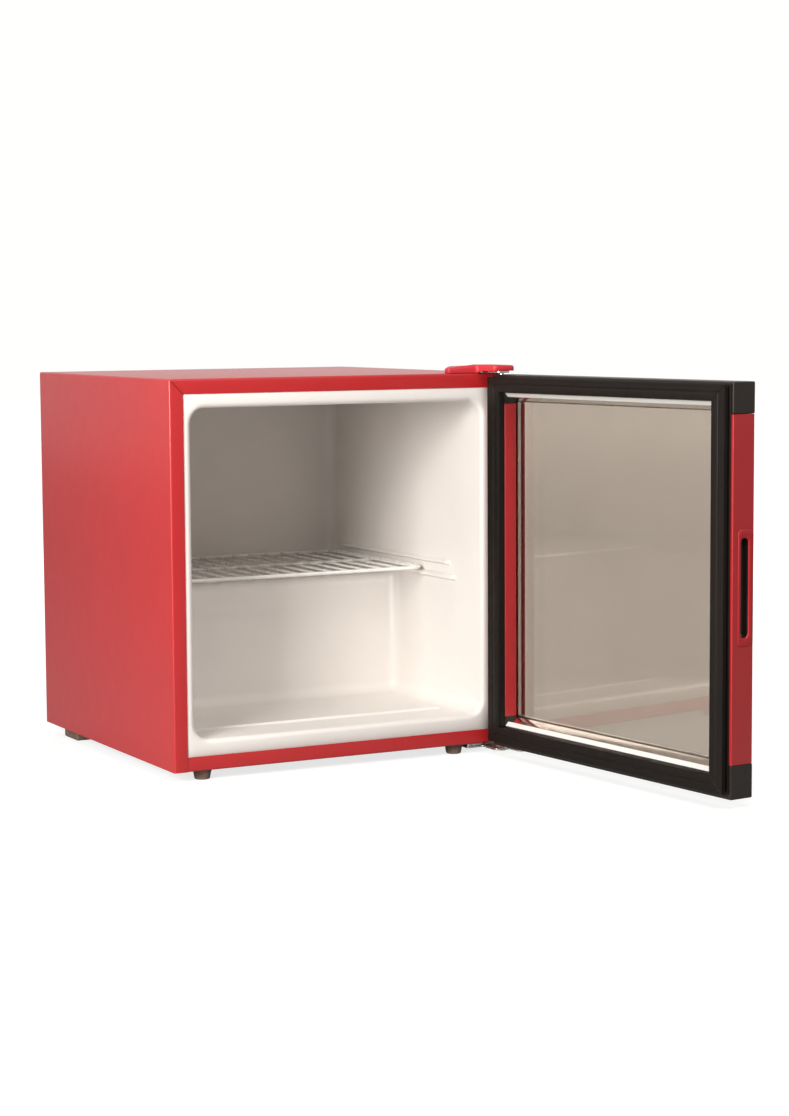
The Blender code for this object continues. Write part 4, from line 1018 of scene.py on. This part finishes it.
def make_rear_panel():
    """Galvanised back sheet with a turned-in border, pressed beads and fixing screws."""
    low, high = (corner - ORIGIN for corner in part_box("back_panel"))
    beads = [(-0.108, 0.108, z, z + 0.014) for z in between(0.226, 0.418, 4)]
    beads += [(side * 0.186 - 0.030, side * 0.186 + 0.030, z, z + 0.014) for side in (-1, 1) for z in (0.250, 0.346)]

    def height(x, z):
        border = min(high.x - abs(x), z - low.z, high.z - z)
        return 0.0008 * smoothstep((border - 0.010) / 0.003) + 0.0010 * sum(
            bump_height(x, z, *bead, 0.004) for bead in beads)

    xs = between(-high.x, high.x, 236)
    zs = between(low.z, high.z, 158)
    across, rows = len(xs), len(zs)
    back = across * rows
    verts = [cab(x, low.y, z) for z in zs for x in xs] + [cab(x, high.y + height(x, z), z) for z in zs for x in xs]
    faces = []
    for row in range(rows - 1):
        for corner in range(row * across, (row + 1) * across - 1):
            quad = (corner, corner + 1, corner + 1 + across, corner + across)
            faces += [quad, tuple(back + i for i in reversed(quad))]
    rim = [*range(across), *range(2 * across - 1, back, across), *range(back - 2, back - across - 1, -1),
           *range(back - 2 * across, 0, -across)]
    faces += [(b, a, a + back, b + back) for a, b in zip(rim, rim[1:] + rim[:1])]
    piece("rear_panel", [(verts, faces)], "galvanised_steel", "back_panel", angle=40)
    places = [(side * 0.222, z) for z in (0.190, 0.330, 0.478) for side in (-1, 1)]
    for index, (x, z) in enumerate(places + [(0.0, 0.480), (-0.120, 0.480), (0.120, 0.480)]):
        screw(f"panel_screw_{index + 1}", cab(x, high.y + 0.0001, z), (0, 1, 0), (0.8, 0, 0.6))


def make_condenser():
    """Serpentine tube with upright wires welded to both faces, on two folded bars."""
    turn_x = 0.191
    inlet_z = COIL_LOW - COIL_PITCH
    corners = [(*DRIER, 0.1483), (*DRIER, 0.162), (DRIER[0], COIL_Y, 0.162), (DRIER[0], COIL_Y, inlet_z),
               (-turn_x, COIL_Y, inlet_z)]
    for index, z in enumerate(between(COIL_LOW, COIL_HIGH, COIL_PASSES - 1)):
        side = -1 if index % 2 == 0 else 1
        corners += [(side * turn_x, COIL_Y, z), (-side * turn_x, COIL_Y, z)]
    corners[-1] = (DISCHARGE_X, COIL_Y, COIL_HIGH)
    corners.append((DISCHARGE_X, COIL_Y, 0.190))
    piece("condenser_tube", [tube(corners, 0.0118, 8, COIL_RADIUS, 14)], "black_enamel", "condenser_coil")
    wires = []
    for side, start in ((1, -0.176), (-1, -0.172)):
        for index in range(45):
            x = start + 0.0080 * index
            if side < 0 or abs(abs(x) - BAR_X) >= 0.0095:
                wires.append(pipe([cab(x, COIL_Y + side * (COIL_RADIUS + 0.0004), z)
                                   for z in between(COIL_LOW - 0.009, COIL_HIGH + 0.009, 2)], WIRE_RADIUS, 8))
    piece("condenser_wires", wires, "black_enamel")

    near, foot_y = COIL_Y + COIL_RADIUS + GAP, DEPTH + 0.0009
    low, high = COIL_LOW - 0.010, COIL_HIGH + 0.010
    for name, x in (("left", -BAR_X), ("right", BAR_X)):
        left, right = x - BAR_HALF, x + BAR_HALF
        shapes = [slab(rounded_rectangle((left, low), (right, high), 0.0015, 4), (near, near + SHEET),
                       cab_upright, edge=0.0004)]
        for z, way, end in ((low, -1, "low"), (high - SHEET, 1, "high")):
            shapes.append(slab(rounded_rectangle((left, foot_y), (right, near + 0.0008), 0.0004, 2),
                               (z, z + SHEET), edge=0.0003))
            middle = z + SHEET / 2
            sole = sorted((middle, middle + way * 0.013))
            shapes.append(slab(rounded_rectangle((left, sole[0]), (right, sole[1]), 0.0006, 3),
                               (foot_y, foot_y + 0.0012), cab_upright, edge=0.0003))
            screw(f"bar_screw_{name}_{end}", cab(x, foot_y + 0.0013, middle + way * 0.008), (0, 1, 0), (0.6, 0, 0.8))
        piece(f"condenser_mount_{name}", shapes, "black_enamel", f"condenser_bar_{name}", angle=30)


def arc(centre, radius_r, radius_z, start, end, steps):
    return [(centre[0] + radius_r * cos(a), centre[1] + radius_z * sin(a))
            for a in between(radians(start), radians(end), steps)]


def make_compressor():
    """Two welded half shells with a rolled seam, on a slotted base with bolted rubber feet."""
    x, y = COMPRESSOR
    seam = SHELL_RADIUS + 0.0012
    shell = arc((0, 0.052), SHELL_RADIUS, 0.0339, -90, 0, 14) + [(SHELL_RADIUS, 0.0775), (seam, 0.0792)]
    shell += arc((seam, 0.0820), 0.0018, 0.0026, -80, 80, 8) + [(SHELL_RADIUS, 0.0865)]
    shell += arc((0, 0.108), SHELL_RADIUS, 0.040, 0, 90, 16)
    piece("compressor_shell", [turned(shell, cab(x, y, 0), sides=96)], "black_enamel", "compressor", angle=30)

    plate = rounded_rectangle((x - 0.075, y - 0.045), (x + 0.075, y + 0.045), 0.010, 6)
    holes = [block((hole - 0.009, y - 0.030, 0.0), (hole + 0.009, y - 0.024, 0.03), 0.0028, 4)
             for hole in (x - 0.040, x + 0.040)]
    base = merged([slab(plate, (0.0158, 0.0178), edge=0.0005)])
    piece("compressor_foot_plate", boolean(base, holes), "black_enamel", "compressor_base", weighted=True)
    cushion = [(0.0036, 0.0155), (0.0082, 0.0155), (0.0088, 0.0150), (0.0090, 0.0132), (0.0080, 0.0126),
               (0.0080, 0.0116), (0.0104, 0.0108), (0.0110, 0.0098), (0.0110, 0.0076), (0.0098, 0.0070),
               (0.0098, 0.0062), (0.0110, 0.0056), (0.0110, 0.0030), (0.0104, 0.0021), (0.0036, 0.0021)]
    bolt = [(0.0, 0.0179), (0.0074, 0.0179), (0.0078, 0.0183), (0.0078, 0.0190), (0.0074, 0.0193), (0.0030, 0.0193),
            (0.0030, 0.0232), (0.0026, 0.0237), (0.0, 0.0237)]
    for row, foot_y in (("front", y - 0.033), ("rear", y + 0.033)):
        for side, foot_x in (("left", x - 0.062), ("right", x + 0.062)):
            centre = cab(foot_x, foot_y, 0)
            piece(f"cushion_{row}_{side}", [turned(cushion, centre, sides=40, hollow=True)], "rubber",
                  f"grommet_{row}_{side}")
            nut = slab([Vector((foot_x + a, foot_y + b)) for a, b in circle(0.0052, 6)], (0.0194, 0.0224), edge=0.0003)
            piece(f"mount_bolt_{row}_{side}", [turned(bolt, centre, sides=32), nut], "zinc_steel")
    make_relay()
    make_drip_tray()


def make_relay():
    """Start relay's cover with cooling slots, held on by a strap."""
    low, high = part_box("start_relay_cover")
    slots = [block((high.x - 0.0012, y, low.z + 0.008), (high.x + 0.002, y + 0.0026, high.z - 0.020), 0.0008, 2, room)
             for y in between(low.y + 0.006, low.y + 0.0316, 4)]
    cover = block(low, high, 0.0035, 5, room)
    piece("relay_housing", boolean(cover, slots), "black_plastic", "start_relay_cover", weighted=True)
    outer = rounded_rectangle((low.x - 0.0005, low.y - 0.0009), (high.x + 0.0009, high.y + 0.0009), 0.0042, 6)
    inner = rounded_rectangle((low.x + 0.0002, low.y - 0.0001), (high.x + 0.0001, high.y + 0.0001), 0.0036, 6)
    bottom, top = high.z - 0.012, high.z - 0.006
    rings = [[room(p.x, p.y, z) for p in line]
             for line, z in ((outer, bottom), (outer, top), (inner, top), (inner, bottom))]
    piece("relay_strap", [loft(rings, cyclic=True)], "zinc_steel")


def make_drip_tray():
    """Moulded dish with a rolled rim."""
    low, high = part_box("drip_pan")
    rings = []
    for inset, z, corner in ((0.010, low.z, 0.006), (0.0060, low.z + 0.0004, 0.008), (0.0036, low.z + 0.0024, 0.009),
                             (0.0022, high.z - 0.0030, 0.010), (0.0004, high.z - 0.0022, 0.012),
                             (0.0, high.z - 0.0016, 0.012), (0.0, high.z - 0.0004, 0.012), (0.0004, high.z, 0.012),
                             (0.0030, high.z, 0.010), (0.0036, high.z - 0.0006, 0.010),
                             (0.0052, low.z + 0.0042, 0.008), (0.0078, low.z + 0.0024, 0.007),
                             (0.012, low.z + 0.0020, 0.005)):
        rings.append([room(p.x, p.y, z) for p in rounded_rectangle(low.xy, high.xy, corner, inset=inset)])
    piece("drip_tray", [loft(rings)], "white_plastic", "drip_pan", angle=40)


def make_pipework():
    """Drier, capillary, suction and discharge tubes with brazed collars."""
    x, y = DRIER
    half = [(0.0, 0.0470), (0.0030, 0.0470), (0.0032, 0.0420), (0.0036, 0.0390), (0.0052, 0.0368), (0.0080, 0.0335),
            (0.0088, 0.0318), (0.0090, 0.0300)]
    profile = [(r, 0.101 + h) for r, h in half] + [(r, 0.101 - h) for r, h in reversed(half)]
    piece("drier", [turned(profile, cab(x, y, 0))], "copper", "filter_drier")
    capillary = [(x, y, 0.0535), (x, y, 0.036), (-0.150, 0.420, 0.036), (-0.150, 0.300, 0.060), (-0.150, 0.300, 0.1745)]
    piece("capillary", [tube(capillary, 0.014, 10, 0.0012, 12)], "copper", "capillary_tube")
    x, y = COMPRESSOR
    shell = x - SHELL_RADIUS
    suction = [(-0.060, 0.300, 0.1745), (-0.060, 0.300, 0.060), (-0.060, y, 0.060), (shell - 0.0004, y, 0.060)]
    collar = [(0.0, -0.006), (0.0033, -0.006), (0.0046, -0.0052), (0.0048, 0.0), (0.0040, 0.0050), (0.0033, 0.0064),
              (0.0, 0.0064)]
    shapes = [tube(suction, 0.018, 12, 0.0032, 20), turned(collar, cab(shell - 0.0100, y, 0.060), "X", 24)]
    piece("suction_line", shapes, "copper", "suction_tube")
    discharge = [(x + 0.050, y + 0.034, 0.062), (0.160, 0.425, 0.062), (DISCHARGE_X, DRIER[1], 0.100),
                 (DISCHARGE_X, COIL_Y, 0.130), (DISCHARGE_X, COIL_Y, 0.1897)]
    piece("discharge_line", [tube(discharge, 0.016, 12, COIL_RADIUS, 18)], "copper", "discharge_tube")


def make_tray():
    """Pressed compressor tray with raised beads and an upturned rear lip that carries the cord gland."""
    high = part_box("compressor_tray")[1] - ORIGIN
    near, far = BAY_WALL + 2 * GAP, high.y
    shapes = [slab(rounded_rectangle((-high.x, near), (high.x, far), 0.003, 5), (0.0003, 0.0018), edge=0.0003)]
    for x in (-0.190, -0.110, -0.050):
        bead = rounded_rectangle((x - 0.005, near + 0.032), (x + 0.005, far - 0.020), 0.0049, 6)
        shapes.append(slab(bead, (0.0010, 0.0034), edge=0.0014, steps=5))
    lip = rounded_rectangle((0.140, 0.0006), (high.x, 0.034), 0.004, 6)
    shapes.append(slab(lip, (far - 0.0015, far), cab_upright, edge=0.0003))
    gland_x, gland_z = 0.190, 0.0190
    hole = drill(cab(gland_x, far, gland_z), 0.0067, axis="Y")
    piece("bay_tray", boolean(merged(shapes), [hole]), "galvanised_steel", "compressor_tray", weighted=True)
    profile = [(0.0036, 0.4367), (0.0058, 0.4367), (0.0064, 0.4376), (0.0064, 0.4516), (0.0090, 0.4516),
               (0.0095, 0.4521), (0.0095, 0.4531), (0.0086, 0.4540), (0.0048, 0.4542), (0.0036, 0.4536)]
    ring = turned(profile, cab(gland_x, 0, gland_z), "Y", 40, hollow=True)
    piece("cord_bushing", [ring], "black_plastic", "cord_gland", angle=40)


# ---- room, light and camera ------------------------------------------------------------------
SURROUND_LIGHT = 0.07
MIRRORED_SURROUND = 0.76
MIRRORED_FLOOR = 0.15
FLOOR_RADIUS = 14.0
FLOOR_GREY = 0.36
FLOOR_GREY_THROUGH_GLASS = 0.04
NEAR_FLOOR_GLOW = 0.74          # the floor's own light near the cabinet, as a share of what it is far away
FLOOR_GLOW_SPAN = (0.5, 3.0)
GLOW_THROUGH_GLASS = 0.77
GLASS_GLOW_SPAN = (3.0, 9.0)
WARM_KEY = (1, 0.985, 0.96)
WARM_FRONT = (1, 0.985, 0.965)
WHITE = (1, 1, 1)


def make_room():
    """A pale floor that runs out to a white surround."""
    solid = bmesh.new()
    bmesh.ops.create_circle(solid, cap_ends=True, segments=64, radius=FLOOR_RADIUS)
    floor = add("floor", to_mesh(solid))
    floor.location = (0, 0, FLOOR_Z)
    material = bpy.data.materials.new("pale_floor")
    material.use_nodes = True
    tree = material.node_tree
    distance = add_node(tree, "VectorMath", {0: add_node(tree, "TexCoord", {}, "Object")}, "Value", operation="LENGTH")
    strength = 0.0
    for ray, low, high, span in (("Camera", NEAR_FLOOR_GLOW, 1.0, FLOOR_GLOW_SPAN),
                                 ("Transmission", GLOW_THROUGH_GLASS, 1.0, GLASS_GLOW_SPAN),
                                 ("Glossy", NEAR_FLOOR_GLOW * MIRRORED_FLOOR, MIRRORED_FLOOR, FLOOR_GLOW_SPAN)):
        seen = add_node(tree, "LightPath", {}, f"Is {ray} Ray")
        glow = {0: seen, 1: spread(tree, distance, low, high, span)}
        glow = add_node(tree, "Math", glow, operation="MULTIPLY")
        strength = add_node(tree, "Math", {0: strength, 1: glow}, operation="MAXIMUM")
    grey = spread(tree, add_node(tree, "LightPath", {}, "Is Transmission Ray"), FLOOR_GREY,
                  FLOOR_GREY_THROUGH_GLASS, (0, 1))
    plug(tree, tree.nodes["Principled BSDF"], {
        "Base Color": grey, "Roughness": 0.7, "Specular IOR Level": 0.1, "Emission Color": (1, 1, 0.995, 1),
        "Emission Strength": strength})
    floor.data.materials.append(material)

    world = bpy.data.worlds.new("white_surround")
    bpy.context.scene.world = world
    world.use_nodes = True
    tree = world.node_tree
    tree.nodes.clear()
    shade = add_node(tree, "Background", {"Color": (1, 1, 0.992, 1), "Strength": 1.0})
    for ray, strength, colour in (("Glossy", MIRRORED_SURROUND, (1, 0.985, 0.965, 1)),
                                  ("Diffuse", SURROUND_LIGHT, (1, 0.89, 0.85, 1))):
        seen = add_node(tree, "LightPath", {}, f"Is {ray} Ray")
        other = add_node(tree, "Background", {"Color": colour, "Strength": strength})
        shade = add_node(tree, "MixShader", {0: seen, 1: shade, 2: other})
    plug(tree, tree.nodes.new("ShaderNodeOutputWorld"), {"Surface": shade})
    bpy.context.scene.view_settings.view_transform = "Standard"


def make_light(name, place, size, power, colour=WHITE, mirrored=True):
    """A softbox aimed at the cabinet; one that isn't mirrored lights it without showing in its gloss."""
    data = bpy.data.lights.new(name, "AREA")
    data.shape = "RECTANGLE"
    data.size, data.size_y = size
    data.energy = power
    data.color = colour
    lamp = add(name, data)
    lamp.location = cab(*place)
    lamp.visible_glossy = mirrored
    lamp.rotation_mode = "QUATERNION"
    lamp.rotation_quaternion = (cab(0, 0.2, 0.25) - lamp.location).to_track_quat("-Z", "Y")


def make_lights():
    make_light("key_softbox", (-1.65, -0.95, 0.80), (0.8, 0.8), 49.0, WARM_KEY)
    make_light("front_fill", (-0.1, -1.6, 1.80), (1.0, 1.0), 20.0, WARM_FRONT)
    make_light("top_softbox", (-0.4, 0.1, 2.6), (2.0, 2.0), 10.0)
    make_light("right_fill", (2.4, 0.7, 1.2), (1.6, 1.4), 26.0, mirrored=False)
    make_light("rear_fill", (1.1, 2.6, 1.15), (2.0, 1.4), 26.0, mirrored=False)


def make_camera():
    """Eye level just above the cabinet, in front of it and to its left."""
    data = bpy.data.cameras.new("camera")
    data.sensor_fit = "VERTICAL"
    data.sensor_width = data.sensor_height = 36.0
    data.lens = 80.339
    camera = add("camera", data)
    yaw, pitch, roll = radians(27.978), radians(5.700), radians(-0.363)
    turn = Matrix.Rotation(-yaw, 4, "Z") @ Matrix.Rotation(pi / 2 - pitch, 4, "X") @ Matrix.Rotation(roll, 4, "Z")
    camera.matrix_world = Matrix.Translation(cab(-1.4271, -2.8289, 0.5733)) @ turn
    bpy.context.scene.camera = camera


for make in (make_camera, make_room, make_lights, dress_cad_nodes, make_skin, make_front_rail, make_liner,
             make_shelf, make_thermostat, make_feet, make_hinges, make_stiles, make_handle, make_caps, make_gasket,
             make_glazing, make_bushes_and_stop, make_rear_panel, make_condenser, make_compressor, make_pipework,
             make_tray):
    make()
